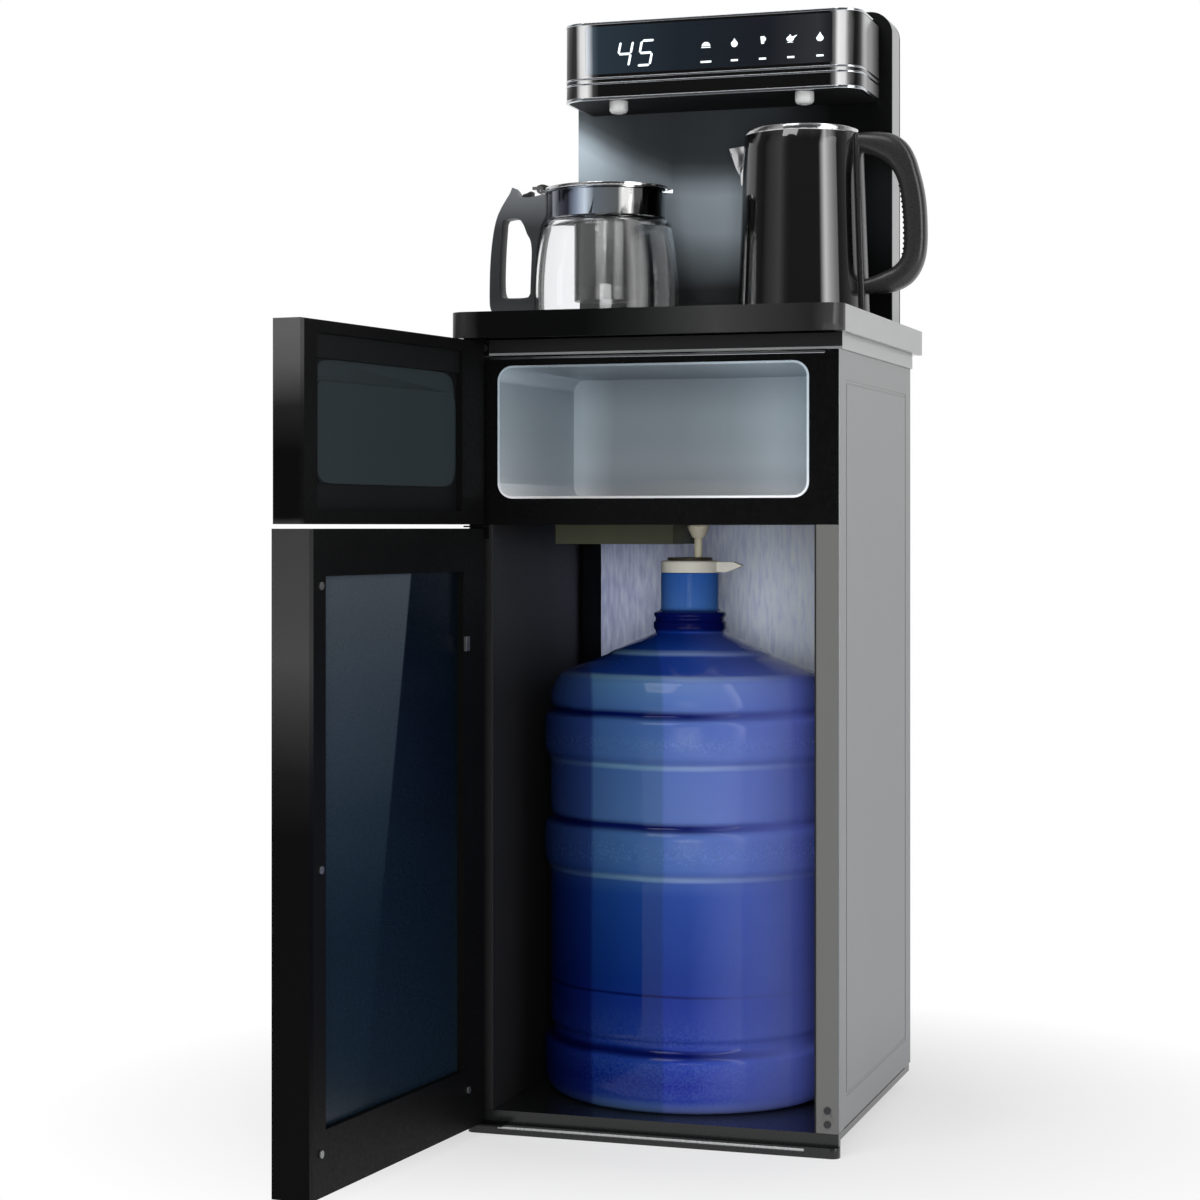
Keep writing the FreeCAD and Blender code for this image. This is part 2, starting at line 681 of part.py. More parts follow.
def rear_posts():
    """Angles in the rear corners that the back wall, the cover and the top panel are fixed to."""
    posts = []
    for side in SIDES:
        solid = side_box(
            side, POST_INNER, INSIDE_SHEET,
            COVER_FACE - POST_DEPTH, COVER_FACE, DECK_TOP, PANEL_TOP,
        )
        hollow = side_box(
            side, POST_INNER + POST_WALL, INSIDE_SHEET - POST_WALL,
            COVER_FACE - POST_DEPTH, COVER_FACE - POST_WALL, DECK_TOP, PANEL_TOP,
        )
        angle = solid.cut(hollow)
        for x, z in cover_screws():
            angle = angle.cut(rod_y(x, z, COVER_FACE - POST_WALL, COVER_FACE, SCREW_RADIUS))
        posts.append(angle)
    return group(posts)


def inner_walls():
    """Dark lining sheets beside the bottle; the left one stops at the cable duct."""
    right = box(
        WALL_FACE, POST_INNER, FRONT, COVER_FACE - POST_DEPTH, DECK_TOP, DIVIDER_BASE
    )
    duct = BACK_WALL_FACE - DUCT_LENGTH
    left = box(-POST_INNER, -WALL_FACE, FRONT, duct, DECK_TOP, DIVIDER_BASE)
    return group([right, left])


def cable_duct():
    """Black channel that carries the wiring up the rear left corner."""
    start = BACK_WALL_FACE - DUCT_LENGTH
    solid = box(
        -POST_INNER, -POST_INNER + DUCT_WIDTH, start, BACK_WALL_FACE, DECK_TOP, DIVIDER_BASE
    )
    hollow = box(
        -POST_INNER, -POST_INNER + DUCT_WIDTH - INNER_WALL,
        start + INNER_WALL, BACK_WALL_FACE - INNER_WALL, DECK_TOP, DIVIDER_BASE,
    )
    return solid.cut(hollow)


def back_wall():
    """Brushed steel sheet at the back of the bottle compartment."""
    return box(
        -POST_INNER, POST_INNER, BACK_WALL_FACE, BACK_WALL_FACE + SHEET, DECK_TOP, DIVIDER_BASE
    )


def cover_screws():
    across = (POST_INNER + INSIDE_SHEET) / 2
    low = PANEL_BOTTOM + COVER_SCREW_INSET
    high = PANEL_TOP - COVER_SCREW_INSET
    return [
        (side * across, z)
        for side in SIDES for z in (low, (low + high) / 2, high)
    ]


def rear_cover():
    """Sheet over the whole back, with air slots behind the storage compartment."""
    cover = box(-INSIDE_SHEET, INSIDE_SHEET, COVER_FACE, BACK, PANEL_BOTTOM, PANEL_TOP)
    for index in range(VENT_COUNT):
        z = VENT_BASE + index * VENT_PITCH
        slot = rounded_forward(
            -VENT_LENGTH / 2, VENT_LENGTH / 2, z, z + VENT_HEIGHT,
            COVER_FACE, BACK, VENT_HEIGHT * VENT_ROUNDING,
        )
        cover = cover.cut(slot)
    for x, z in cover_screws():
        cover = cover.cut(rod_y(x, z, COVER_FACE, BACK, SCREW_RADIUS))
    return cover.cut(rod_y(INLET_X, INLET_Z, COVER_FACE, BACK, INLET_RADIUS - INLET_PROUD / 2))


def power_inlet():
    """Round gland where the mains lead would enter."""
    neck = INLET_RADIUS - INLET_PROUD / 2 - FIT_GAP
    body = joined([
        rod_y(INLET_X, INLET_Z, BACK, BACK + INLET_PROUD, INLET_RADIUS),
        rod_y(INLET_X, INLET_Z, BACK - INLET_DEPTH, BACK, neck),
    ])
    bore = rod_y(INLET_X, INLET_Z, BACK - INLET_DEPTH, BACK + INLET_PROUD, INLET_BORE)
    return body.cut(bore)


def top_panel():
    """Light grey pan that closes the cabinet and carries the worktop."""
    half = HALF_WIDTH + RAIL_PROUD
    pan = box(-half, half, FRONT, BACK, PANEL_TOP, WORKTOP_BOTTOM)
    hollow = box(
        -INSIDE_SHEET + RAIL_WALL, INSIDE_SHEET - RAIL_WALL,
        FRONT + RAIL_WALL, BACK - RAIL_WALL, PANEL_TOP, WORKTOP_BOTTOM - RAIL_WALL,
    )
    pan = pan.cut(hollow)
    for x, z in top_bracket_screws():
        pan = pan.cut(screw_hole(x, FRONT, z))
    for side in SIDES:
        x = side * TUBE_SPREAD / 2
        pan = pan.cut(post(x, TUBE_Y, WORKTOP_BOTTOM - RAIL_WALL, WORKTOP_BOTTOM, TUBE_HOLE))
    return pan


# ================================================================ storage compartment
def storage_front_frame():
    """Gloss black frame round the storage opening."""
    plate = box(-INSIDE_SHEET, INSIDE_SHEET, FRONT, FRONT + FRAME_DEPTH, DIVIDER_BASE, FRAME_TOP)
    half = STORE_WIDTH / 2 + FIT_GAP
    window = rounded_forward(
        -half, half, STORE_BOTTOM - FIT_GAP, STORE_BOTTOM + STORE_HEIGHT + FIT_GAP,
        FRONT, FRONT + FRAME_DEPTH, STORE_CORNER + FIT_GAP,
    )
    frame = plate.cut(window)
    for x, z in middle_bracket_screws():
        if z > DIVIDER_BASE:
            frame = frame.cut(screw_hole(x, FRONT, z))
    return frame


def storage_trim():
    """Thin bright strip along the top of the frame."""
    half = STORE_WIDTH / 2 + STORE_CORNER
    return box(-half, half, FRONT - TRIM_PROUD, FRONT, FRAME_TOP - TRIM_HEIGHT, FRAME_TOP)


def storage_liner():
    """Pale moulded tub, open to the front, whose rim shows as a light line."""
    half = STORE_WIDTH / 2
    top = STORE_BOTTOM + STORE_HEIGHT
    front = FRONT - LINER_PROUD
    rear = FRONT + STORE_DEPTH
    outer = rounded_forward(-half, half, STORE_BOTTOM, top, front, rear, STORE_CORNER)
    inner = rounded_forward(
        -half + LINER_WALL, half - LINER_WALL, STORE_BOTTOM + LINER_WALL, top - LINER_WALL,
        front, rear - LINER_WALL, STORE_CORNER - LINER_WALL,
    )
    return outer.cut(inner)


def divider_panel():
    """Shelf between the compartments with two ribs under the storage tub."""
    rear = BACK_WALL_FACE + SHEET
    shelf = box(
        -POST_INNER, POST_INNER, FRONT + FRAME_DEPTH, rear, DIVIDER_BASE, DIVIDER_TOP
    )
    ribs = [
        box(
            side * RIB_SPACING / 2 - RIB_WIDTH / 2, side * RIB_SPACING / 2 + RIB_WIDTH / 2,
            FRONT + FRAME_DEPTH, FRONT + STORE_DEPTH, DIVIDER_TOP, STORE_BOTTOM,
        )
        for side in SIDES
    ]
    hole = post(HOSE_X, BOTTLE_Y, DIVIDER_BASE, DIVIDER_TOP, SOCKET_RADIUS + FIT_GAP)
    return joined([shelf] + ribs).cut(hole)


# ================================================================ pump
def pump_housing():
    """Olive grey cover under the shelf, open to the shelf."""
    left = PUMP_COVER_RIGHT - PUMP_COVER_WIDTH
    rear = PUMP_COVER_FRONT + PUMP_COVER_DEPTH
    bottom = DIVIDER_BASE - PUMP_COVER_HEIGHT
    wall = PUMP_COVER_WALL
    solid = box(left, PUMP_COVER_RIGHT, PUMP_COVER_FRONT, rear, bottom, DIVIDER_BASE)
    hollow = box(
        left + wall, PUMP_COVER_RIGHT - wall, PUMP_COVER_FRONT + wall, rear - wall,
        bottom + wall, DIVIDER_BASE,
    )
    return solid.cut(hollow)


def pump_axis_height():
    return DIVIDER_TOP + MOTOR_LIFT


def pump_motor():
    """Motor can with the pump chamber on its right end, a chamber cover and two feet."""
    z = pump_axis_height()
    right = MOTOR_LEFT + MOTOR_LENGTH
    end = right + CHAMBER_LENGTH
    can = rod_x(MOTOR_Y, z, MOTOR_LEFT, right, MOTOR_RADIUS)
    chamber = rod_x(MOTOR_Y, z, right, end, CHAMBER_RADIUS)
    feet = [
        box(x, x + CHAMBER_WALL, MOTOR_Y - MOTOR_RADIUS, MOTOR_Y + MOTOR_RADIUS, DIVIDER_TOP, z)
        for x in (MOTOR_LEFT + CHAMBER_WALL, right - 2 * CHAMBER_WALL)
    ]
    shaft_bore = rod_x(MOTOR_Y, z, right - SHAFT_REACH, right, ROTOR_SHAFT + RUNNING_GAP)
    cavity = rod_x(
        MOTOR_Y, z, right + CHAMBER_WALL, end, CHAMBER_RADIUS - CHAMBER_WALL
    )
    neck = rod_x(MOTOR_Y, z, right, right + CHAMBER_WALL, ROTOR_SHAFT + RUNNING_GAP)
    body = joined([can, chamber] + feet).cut(shaft_bore).cut(cavity).cut(neck)
    cover = rod_x(MOTOR_Y, z, end, end + CHAMBER_WALL, CHAMBER_RADIUS)
    return group([body, cover])


def pump_rotor():
    """Impeller: a hub disc with straight blades on a shaft that runs in the motor."""
    z = pump_axis_height()
    right = MOTOR_LEFT + MOTOR_LENGTH
    start = right + CHAMBER_WALL + BLADE_SIDE_GAP
    stop = right + CHAMBER_LENGTH - BLADE_SIDE_GAP
    shaft = rod_x(MOTOR_Y, z, right - SHAFT_REACH + BLADE_SIDE_GAP, stop, ROTOR_SHAFT)
    disc = rod_x(MOTOR_Y, z, start, start + BLADE_THICKNESS, ROTOR_RADIUS)
    blades = []
    for index in range(ROTOR_BLADES):
        blade = box(
            start, stop, MOTOR_Y - BLADE_THICKNESS / 2, MOTOR_Y + BLADE_THICKNESS / 2,
            z, z + ROTOR_RADIUS - BLADE_THICKNESS / 2,
        )
        blade.rotate(Vector(0, MOTOR_Y, z), Vector(1, 0, 0), index * 360 / ROTOR_BLADES)
        blades.append(blade)
    return joined([shaft, disc] + blades)


def hose_socket():
    """Spigot through the shelf that the suction line plugs against."""
    body = post(HOSE_X, BOTTLE_Y, DIVIDER_BASE, DIVIDER_BASE + SOCKET_HEIGHT, SOCKET_RADIUS)
    bore = post(HOSE_X, BOTTLE_Y, DIVIDER_BASE, DIVIDER_BASE + SOCKET_HEIGHT, HOSE_RADIUS)
    return body.cut(bore)


# ================================================================ worktop
def worktop_shape(x_inset, z0, z1, wall):
    """Prism of the worktop's plan, rounded at the two front corners, drawn in by wall."""
    half = WORKTOP_HALF - x_inset - wall
    front = WORKTOP_FRONT + wall
    rear = WORKTOP_BACK - wall
    radius = WORKTOP_CORNER - wall
    place = [
        Vector(-half, rear, z0),
        Vector(-half, front + radius, z0),
        ("via", Vector(*corner_middle(-half + radius, front + radius, -1, -1, radius), z0)),
        Vector(-half + radius, front, z0),
        Vector(half - radius, front, z0),
        ("via", Vector(*corner_middle(half - radius, front + radius, 1, -1, radius), z0)),
        Vector(half, front + radius, z0),
        Vector(half, rear, z0),
    ]
    return Part.Face(outline(place)).extrude(Vector(0, 0, z1 - z0))


def side_trim_blank(side):
    return side_box(
        side, WORKTOP_HALF - SIDE_TRIM, WORKTOP_HALF,
        WORKTOP_FRONT + WORKTOP_CORNER, WORKTOP_BACK, WORKTOP_BOTTOM, WORKTOP_TOP,
    )


def worktop_body():
    """Gloss black top, hollow below, with the side strips let into it."""
    solid = worktop_shape(0, WORKTOP_BOTTOM, WORKTOP_TOP, 0)
    hollow = worktop_shape(0, WORKTOP_BOTTOM, WORKTOP_TOP - WORKTOP_WALL, WORKTOP_OVER_SIDE)
    top = solid.cut(hollow)
    for side in SIDES:
        x = side * TUBE_SPREAD / 2
        top = top.cut(side_trim_blank(side))
        top = top.cut(post(x, TUBE_Y, WORKTOP_BOTTOM, WORKTOP_TOP, TUBE_HOLE))
    return top


def worktop_side_trims():
    return group([side_trim_blank(side) for side in SIDES])


def warming_plate():
    return post(TEAPOT_X, TEAPOT_Y, WORKTOP_TOP, TEAPOT_BOTTOM, WARMER_RADIUS)


def kettle_base():
    """Flat heating base with the contact pin the kettle drops over."""
    disc = post(KETTLE_X, KETTLE_Y, WORKTOP_TOP, KETTLE_BOTTOM, KETTLE_BASE_RADIUS)
    pin = post(
        KETTLE_X, KETTLE_Y, KETTLE_BOTTOM, KETTLE_BOTTOM + COUPLER_HEIGHT, COUPLER_RADIUS
    )
    return joined([disc, pin])


# ================================================================ column
def column_outline(y0, y1, inset):
    """Prism along Y of the column's front view: square at the worktop, rounded at the top."""
    half = COLUMN_HALF - inset
    top = COLUMN_TOP - inset
    radius = COLUMN_CORNER - inset
    left = corner_middle(-half + radius, top - radius, -1, 1, radius)
    right = corner_middle(half - radius, top - radius, 1, 1, radius)
    points = [
        Vector(-half, y0, WORKTOP_TOP),
        Vector(-half, y0, top - radius),
        ("via", Vector(left[0], y0, left[1])),
        Vector(-half + radius, y0, top),
        Vector(half - radius, y0, top),
        ("via", Vector(right[0], y0, right[1])),
        Vector(half, y0, top - radius),
        Vector(half, y0, WORKTOP_TOP),
    ]
    return Part.Face(outline(points)).extrude(Vector(0, y1 - y0, 0))


def column_front():
    """Dark satin front sheet of the column, with the two holes the water tubes pass."""
    sheet = column_outline(COLUMN_FRONT, COLUMN_FRONT + COLUMN_SKIN, 0)
    for side in SIDES:
        x = side * NOZZLE_SPREAD / 2
        sheet = sheet.cut(
            rod_y(x, TUBE_LEVEL, COLUMN_FRONT, COLUMN_FRONT + COLUMN_SKIN, TUBE_HOLE)
        )
    return sheet


def column_frame():
    """Light grey band round the sides and top of the column."""
    y0 = COLUMN_FRONT + COLUMN_SKIN
    y1 = COLUMN_BACK - COLUMN_SKIN
    return column_outline(y0, y1, 0).cut(column_outline(y0, y1, COLUMN_SKIN))


def column_back():
    """Rear sheet of the column with a few air slots."""
    y0 = COLUMN_BACK - COLUMN_SKIN
    sheet = column_outline(y0, COLUMN_BACK, 0)
    for index in range(VENT_COUNT):
        z = POWER_BOARD_BASE + POWER_BOARD_HEIGHT + (index + 1) * VENT_PITCH
        slot = rounded_forward(
            -VENT_LENGTH / 2, VENT_LENGTH / 2, z, z + VENT_HEIGHT,
            y0, COLUMN_BACK, VENT_HEIGHT * VENT_ROUNDING,
        )
        sheet = sheet.cut(slot)
    return sheet


def power_board():
    """Heater and pump board on standoffs inside the column."""
    wall = COLUMN_BACK - COLUMN_SKIN
    half = POWER_BOARD_WIDTH / 2
    top = POWER_BOARD_BASE + POWER_BOARD_HEIGHT
    face = wall - STANDOFF - BOARD_THICKNESS
    board = box(-half, half, face, wall - STANDOFF, POWER_BOARD_BASE, top)
    legs = [
        rod_y(side * (half - STANDOFF * 2), z, wall - STANDOFF, wall, STANDOFF)
        for side in SIDES for z in (POWER_BOARD_BASE + STANDOFF * 2, top - STANDOFF * 2)
    ]
    parts = [
        rod_y(
            side * POWER_BOARD_WIDTH / 3, POWER_BOARD_BASE + POWER_BOARD_HEIGHT / 2,
            face - CAPACITOR_HEIGHT, face, CAPACITOR_RADIUS,
        )
        for side in SIDES
    ]
    return joined([board] + legs + parts)


def water_tubes():
    """Two silicone tubes from the pump space up the column and forward to the outlets."""
    tubes = []
    for side in SIDES:
        x0 = side * TUBE_SPREAD / 2
        x1 = side * NOZZLE_SPREAD / 2
        route = [
            Vector(x0, TUBE_Y, DIVIDER_TOP),
            Vector(x0, TUBE_Y, TUBE_LEVEL),
            Vector(x1, TUBE_Y, TUBE_LEVEL),
            Vector(x1, NOZZLE_Y, TUBE_LEVEL),
            Vector(x1, NOZZLE_Y, HEAD_BOTTOM + BAND_BOTTOM + STEM_HEIGHT),
        ]
        tubes.append(swept_tube(route, TUBE_RADIUS, TUBE_BEND))
    return group(tubes)


# ================================================================ head
def head_prism(z0, z1, inset):
    """Prism of the head's plan, rounded at the front corners and square against the column."""
    half = HEAD_HALF - inset
    front = HEAD_FRONT + inset
    radius = HEAD_CORNER - inset
    points = [
        Vector(-half, COLUMN_FRONT, z0),
        Vector(-half, front + radius, z0),
        ("via", Vector(*corner_middle(-half + radius, front + radius, -1, -1, radius), z0)),
        Vector(-half + radius, front, z0),
        Vector(half - radius, front, z0),
        ("via", Vector(*corner_middle(half - radius, front + radius, 1, -1, radius), z0)),
        Vector(half, front + radius, z0),
        Vector(half, COLUMN_FRONT, z0),
    ]
    return Part.Face(outline(points)).extrude(Vector(0, 0, z1 - z0))


def head_band(z0, z1, outer_inset, inner_inset):
    return head_prism(z0, z1, outer_inset).cut(head_prism(z0, z1, inner_inset))


def head_bands():
    """Bottom band, two thin lines and the top edge."""
    bands = [head_band(HEAD_BOTTOM, HEAD_BOTTOM + BAND_BOTTOM, -BAND_PROUD, BAND_WIDTH)]
    for z in (HEAD_BOTTOM + LOWER_LINE_RISE, HEAD_BOTTOM + UPPER_LINE_RISE):
        bands.append(head_band(z, z + LINE_HEIGHT, -BAND_PROUD, BAND_WIDTH / 2))
    bands.append(head_band(HEAD_TOP - BAND_TOP, HEAD_TOP, -BAND_PROUD, BAND_WIDTH))
    return bands


def head_shell():
    """Gloss black wrap-round shell and top, grooved for the bright lines."""
    bottom = HEAD_BOTTOM + BAND_BOTTOM
    roof = HEAD_TOP - BAND_TOP
    solid = head_prism(bottom, HEAD_TOP, 0)
    hollow = head_prism(bottom, roof - HEAD_WALL, HEAD_WALL)
    shell = solid.cut(hollow)
    for band in head_bands():
        shell = shell.cut(band)
    half = GLASS_WIDTH / 2 + FIT_GAP
    pocket = box(
        -half, half, HEAD_FRONT, HEAD_FRONT + GLASS_POCKET,
        GLASS_BOTTOM - FIT_GAP, GLASS_BOTTOM + GLASS_HEIGHT + FIT_GAP,
    )
    return shell.cut(pocket)


def head_base_plate():
    """Matt black underside that carries the two outlets."""
    plate = head_prism(HEAD_BOTTOM, HEAD_BOTTOM + BAND_BOTTOM, BAND_WIDTH)
    for side in SIDES:
        x = side * NOZZLE_SPREAD / 2
        hole = post(
            x, NOZZLE_Y, HEAD_BOTTOM, HEAD_BOTTOM + BAND_BOTTOM, NOZZLE_STEM + FIT_GAP
        )
        plate = plate.cut(hole)
    return plate


def display_glass():
    half = GLASS_WIDTH / 2
    return box(
        -half, half, HEAD_FRONT - GLASS_PROUD, HEAD_FRONT + GLASS_POCKET,
        GLASS_BOTTOM, GLASS_BOTTOM + GLASS_HEIGHT,
    )


def display_board():
    """Touch and display board behind the glass, on short standoffs."""
    wall = HEAD_FRONT + HEAD_WALL
    half = GLASS_WIDTH / 2 - STANDOFF * 2
    face = wall + STANDOFF
    top = GLASS_BOTTOM + GLASS_HEIGHT
    board = box(-half, half, face, face + BOARD_THICKNESS, GLASS_BOTTOM, top - STANDOFF)
    legs = [
        rod_y(side * (half - STANDOFF * 2), z, wall, face, STANDOFF)
        for side in SIDES for z in (GLASS_BOTTOM + STANDOFF * 2, top - STANDOFF * 3)
    ]
    digits = box(
        -half + STANDOFF * 6, -half / 3, wall, face,
        GLASS_BOTTOM + STANDOFF * 2, top - STANDOFF * 3,
    )
    return joined([board, digits] + legs)


def nozzle(side):
    """White outlet with a rounded tip, a stem up through the base plate and a bore."""
    x = side * NOZZLE_SPREAD / 2
    tip = HEAD_BOTTOM - NOZZLE_DROP
    stem_top = HEAD_BOTTOM + BAND_BOTTOM + STEM_HEIGHT
    round_off = NOZZLE_RADIUS / 2
    bend = corner_middle(NOZZLE_RADIUS - round_off, tip + round_off, 1, -1, round_off)
    profile = [
        (NOZZLE_BORE, tip),
        (NOZZLE_RADIUS - round_off, tip),
        ("via", bend),
        (NOZZLE_RADIUS, tip + round_off),
        (NOZZLE_RADIUS, HEAD_BOTTOM),
        (NOZZLE_STEM, HEAD_BOTTOM),
        (NOZZLE_STEM, stem_top),
        (NOZZLE_BORE, stem_top),
    ]
    return turned(profile, x, NOZZLE_Y)


def nozzles():
    return group([nozzle(side) for side in SIDES])


# ================================================================ doors
def opened(shape, angle):
    """Turns a piece drawn on the closed door about the hinge pin to its resting angle."""
    shape.rotate(Vector(HINGE_X, HINGE_Y, 0), UP, -angle)
    return shape


def door_blank(thickness, z0, z1, inset):
    """Closed door block whose inner hinge edge is rounded to swing clear of the cabinet."""
    outer = DOOR_INNER - thickness + inset
    block = box(DOOR_END + inset, DOOR_FREE - inset, outer, DOOR_INNER, z0 + inset, z1 - inset)
    if inset > 0:
        return block
    corner_x = DOOR_END + DOOR_EDGE_RADIUS
    corner_y = DOOR_INNER - DOOR_EDGE_RADIUS
    square = box(DOOR_END, corner_x, corner_y, DOOR_INNER, z0, z1)
    return block.cut(square.cut(post(corner_x, corner_y, z0, z1, DOOR_EDGE_RADIUS)))


def door_frame(thickness, z0, z1, border_bottom, border_top):
    """Tray shaped door frame: skin behind the front glass, four walls and a wide inner border."""
    outer = DOOR_INNER - thickness
    floor = outer + DOOR_GLASS
    blank = door_blank(thickness, z0, z1, 0)
    glass_seat = box(
        DOOR_END + DOOR_RIM, DOOR_FREE - DOOR_RIM, outer, floor, z0 + DOOR_RIM, z1 - DOOR_RIM
    )
    cavity = box(
        DOOR_END + DOOR_BORDER_HINGE, DOOR_FREE - DOOR_BORDER_FREE,
        floor + DOOR_SKIN, DOOR_INNER, z0 + border_bottom, z1 - border_top,
    )
    frame = blank.cut(glass_seat).cut(cavity)
    return frame.cut(pin_bores(z0, z1))


def pin_bores(z0, z1):
    reach = PIN_LENGTH + FIT_GAP
    radius = PIN_RADIUS + RUNNING_GAP
    return group([
        post(HINGE_X, HINGE_Y, z0, z0 + reach, radius),
        post(HINGE_X, HINGE_Y, z1 - reach, z1, radius),
    ])


def door_glass(thickness, z0, z1, angle):
    outer = DOOR_INNER - thickness
    sheet = box(
        DOOR_END + DOOR_RIM, DOOR_FREE - DOOR_RIM, outer, outer + DOOR_GLASS,
        z0 + DOOR_RIM, z1 - DOOR_RIM,
    )
    return opened(sheet, angle)


def liner_plate(z0, z1):
    """Inner panel that closes the door's cavity, set back from the inner face."""
    face = DOOR_INNER - LINER_RECESS
    return box(
        DOOR_END + DOOR_BORDER_HINGE, DOOR_FREE - DOOR_BORDER_FREE,
        face - LINER_THICKNESS, face, z0, z1,
    )


def upper_door_frame():
    frame = door_frame(
        UPPER_DOOR_THICKNESS, UPPER_DOOR_BOTTOM, UPPER_DOOR_TOP,
        UPPER_BORDER_BOTTOM, UPPER_BORDER_TOP,
    )
    return opened(frame, UPPER_DOOR_ANGLE_DEG)


def upper_door_glass():
    return door_glass(
        UPPER_DOOR_THICKNESS, UPPER_DOOR_BOTTOM, UPPER_DOOR_TOP, UPPER_DOOR_ANGLE_DEG
    )


def upper_door_liner():
    """Inner panel with a raised ledge at the top and a raised window field."""
    face = DOOR_INNER - LINER_RECESS
    top = UPPER_DOOR_TOP - UPPER_BORDER_TOP
    plate = liner_plate(UPPER_DOOR_BOTTOM + UPPER_BORDER_BOTTOM, top)
    left = DOOR_END + DOOR_BORDER_HINGE
    right = DOOR_FREE - DOOR_BORDER_FREE
    ledge = box(left, right, face, face + UPPER_LEDGE_RISE, top - UPPER_LEDGE, top)
    window = rounded_forward(
        left + WINDOW_MARGIN_SIDE, right - WINDOW_MARGIN_SIDE,
        WINDOW_BOTTOM, WINDOW_BOTTOM + WINDOW_HEIGHT,
        face, face + WINDOW_RISE, WINDOW_CORNER,
    )
    return opened(joined([plate, ledge, window]), UPPER_DOOR_ANGLE_DEG)


def lower_door_frame():
    frame = door_frame(
        LOWER_DOOR_THICKNESS, LOWER_DOOR_BOTTOM, LOWER_DOOR_TOP,
        LOWER_BORDER_BOTTOM, LOWER_BORDER_TOP,
    )
    for x, z in door_screw_places():
        frame = frame.cut(door_screw(x, z))
    return opened(frame, LOWER_DOOR_ANGLE_DEG)


def lower_door_glass():
    return door_glass(
        LOWER_DOOR_THICKNESS, LOWER_DOOR_BOTTOM, LOWER_DOOR_TOP, LOWER_DOOR_ANGLE_DEG
    )


def lower_door_liner():
    plate = liner_plate(
        LOWER_DOOR_BOTTOM + LOWER_BORDER_BOTTOM, LOWER_DOOR_TOP - LOWER_BORDER_TOP
    )
    return opened(plate, LOWER_DOOR_ANGLE_DEG)


def door_screw_places():
    """Three screws down the free border and one at the foot of the hinge border."""
    free = DOOR_FREE - DOOR_BORDER_FREE * 0.7
    hinge = DOOR_END + DOOR_BORDER_HINGE - SCREW_HEAD_RADIUS * 3
    bottom = LOWER_DOOR_BOTTOM + LOWER_BORDER_BOTTOM * 0.66
    top = LOWER_DOOR_TOP - LOWER_BORDER_TOP * 1.2
    return [(free, bottom), (free, (bottom + top) / 2), (free, top), (hinge, bottom)]


def door_screw(x, z):
    """A pan head screw driven into the door's inner border from inside."""
    head = rod_y(x, z, DOOR_INNER, DOOR_INNER + SCREW_HEAD_HEIGHT, SCREW_HEAD_RADIUS)
    shank = rod_y(x, z, DOOR_INNER - SCREW_LENGTH, DOOR_INNER, SCREW_RADIUS)
    return joined([head, shank])


def lower_door_screws():
    screws = group([door_screw(x, z) for x, z in door_screw_places()])
    return opened(screws, LOWER_DOOR_ANGLE_DEG)


def door_clip():
    """Small metal strike on the hinge border of the lower door."""
    x = DOOR_END + CLIP_ALONG
    clip = box(
        x, x + CLIP_SIZE / 2, DOOR_INNER, DOOR_INNER + CLIP_PROUD,
        CLIP_HEIGHT, CLIP_HEIGHT + CLIP_SIZE,
    )
    return opened(clip, LOWER_DOOR_ANGLE_DEG)


# ================================================================ hinge brackets
def bracket_span():
    left = -HALF_WIDTH + SHEET
    return left, left + BRACKET_WIDTH


def top_bracket_screws():
    left, right = bracket_span()
    z = (PANEL_TOP + WORKTOP_BOTTOM) / 2
    return [(left + BRACKET_WIDTH / 4, z), (right - BRACKET_WIDTH / 4, z)]


def middle_bracket_screws():
    left, right = bracket_span()
    middle = (left + right) / 2
    return [(middle, DIVIDER_BASE + side * BRACKET_SCREW_OFFSET) for side in SIDES]


def bottom_bracket_screws():
    left, right = bracket_span()
    y = FRONT + POST_WALL - LIP_REACH / 2
    return [(right + FOOT_SCREW_NEAR, y), (right + FOOT_SCREW_FAR, y)]


def bottom_bracket_holes():
    return group([
        post(x, y, LIP_HEIGHT - SCREW_LENGTH, LIP_HEIGHT, SCREW_RADIUS)
        for x, y in bottom_bracket_screws()
    ])


def pinned_plate(z0, z1, right):
    """Flat plate that carries a hinge pin in front of the cabinet."""
    left = -HALF_WIDTH + SHEET
    return box(left, right, HINGE_Y - BRACKET_NOSE, FRONT, z0, z1)


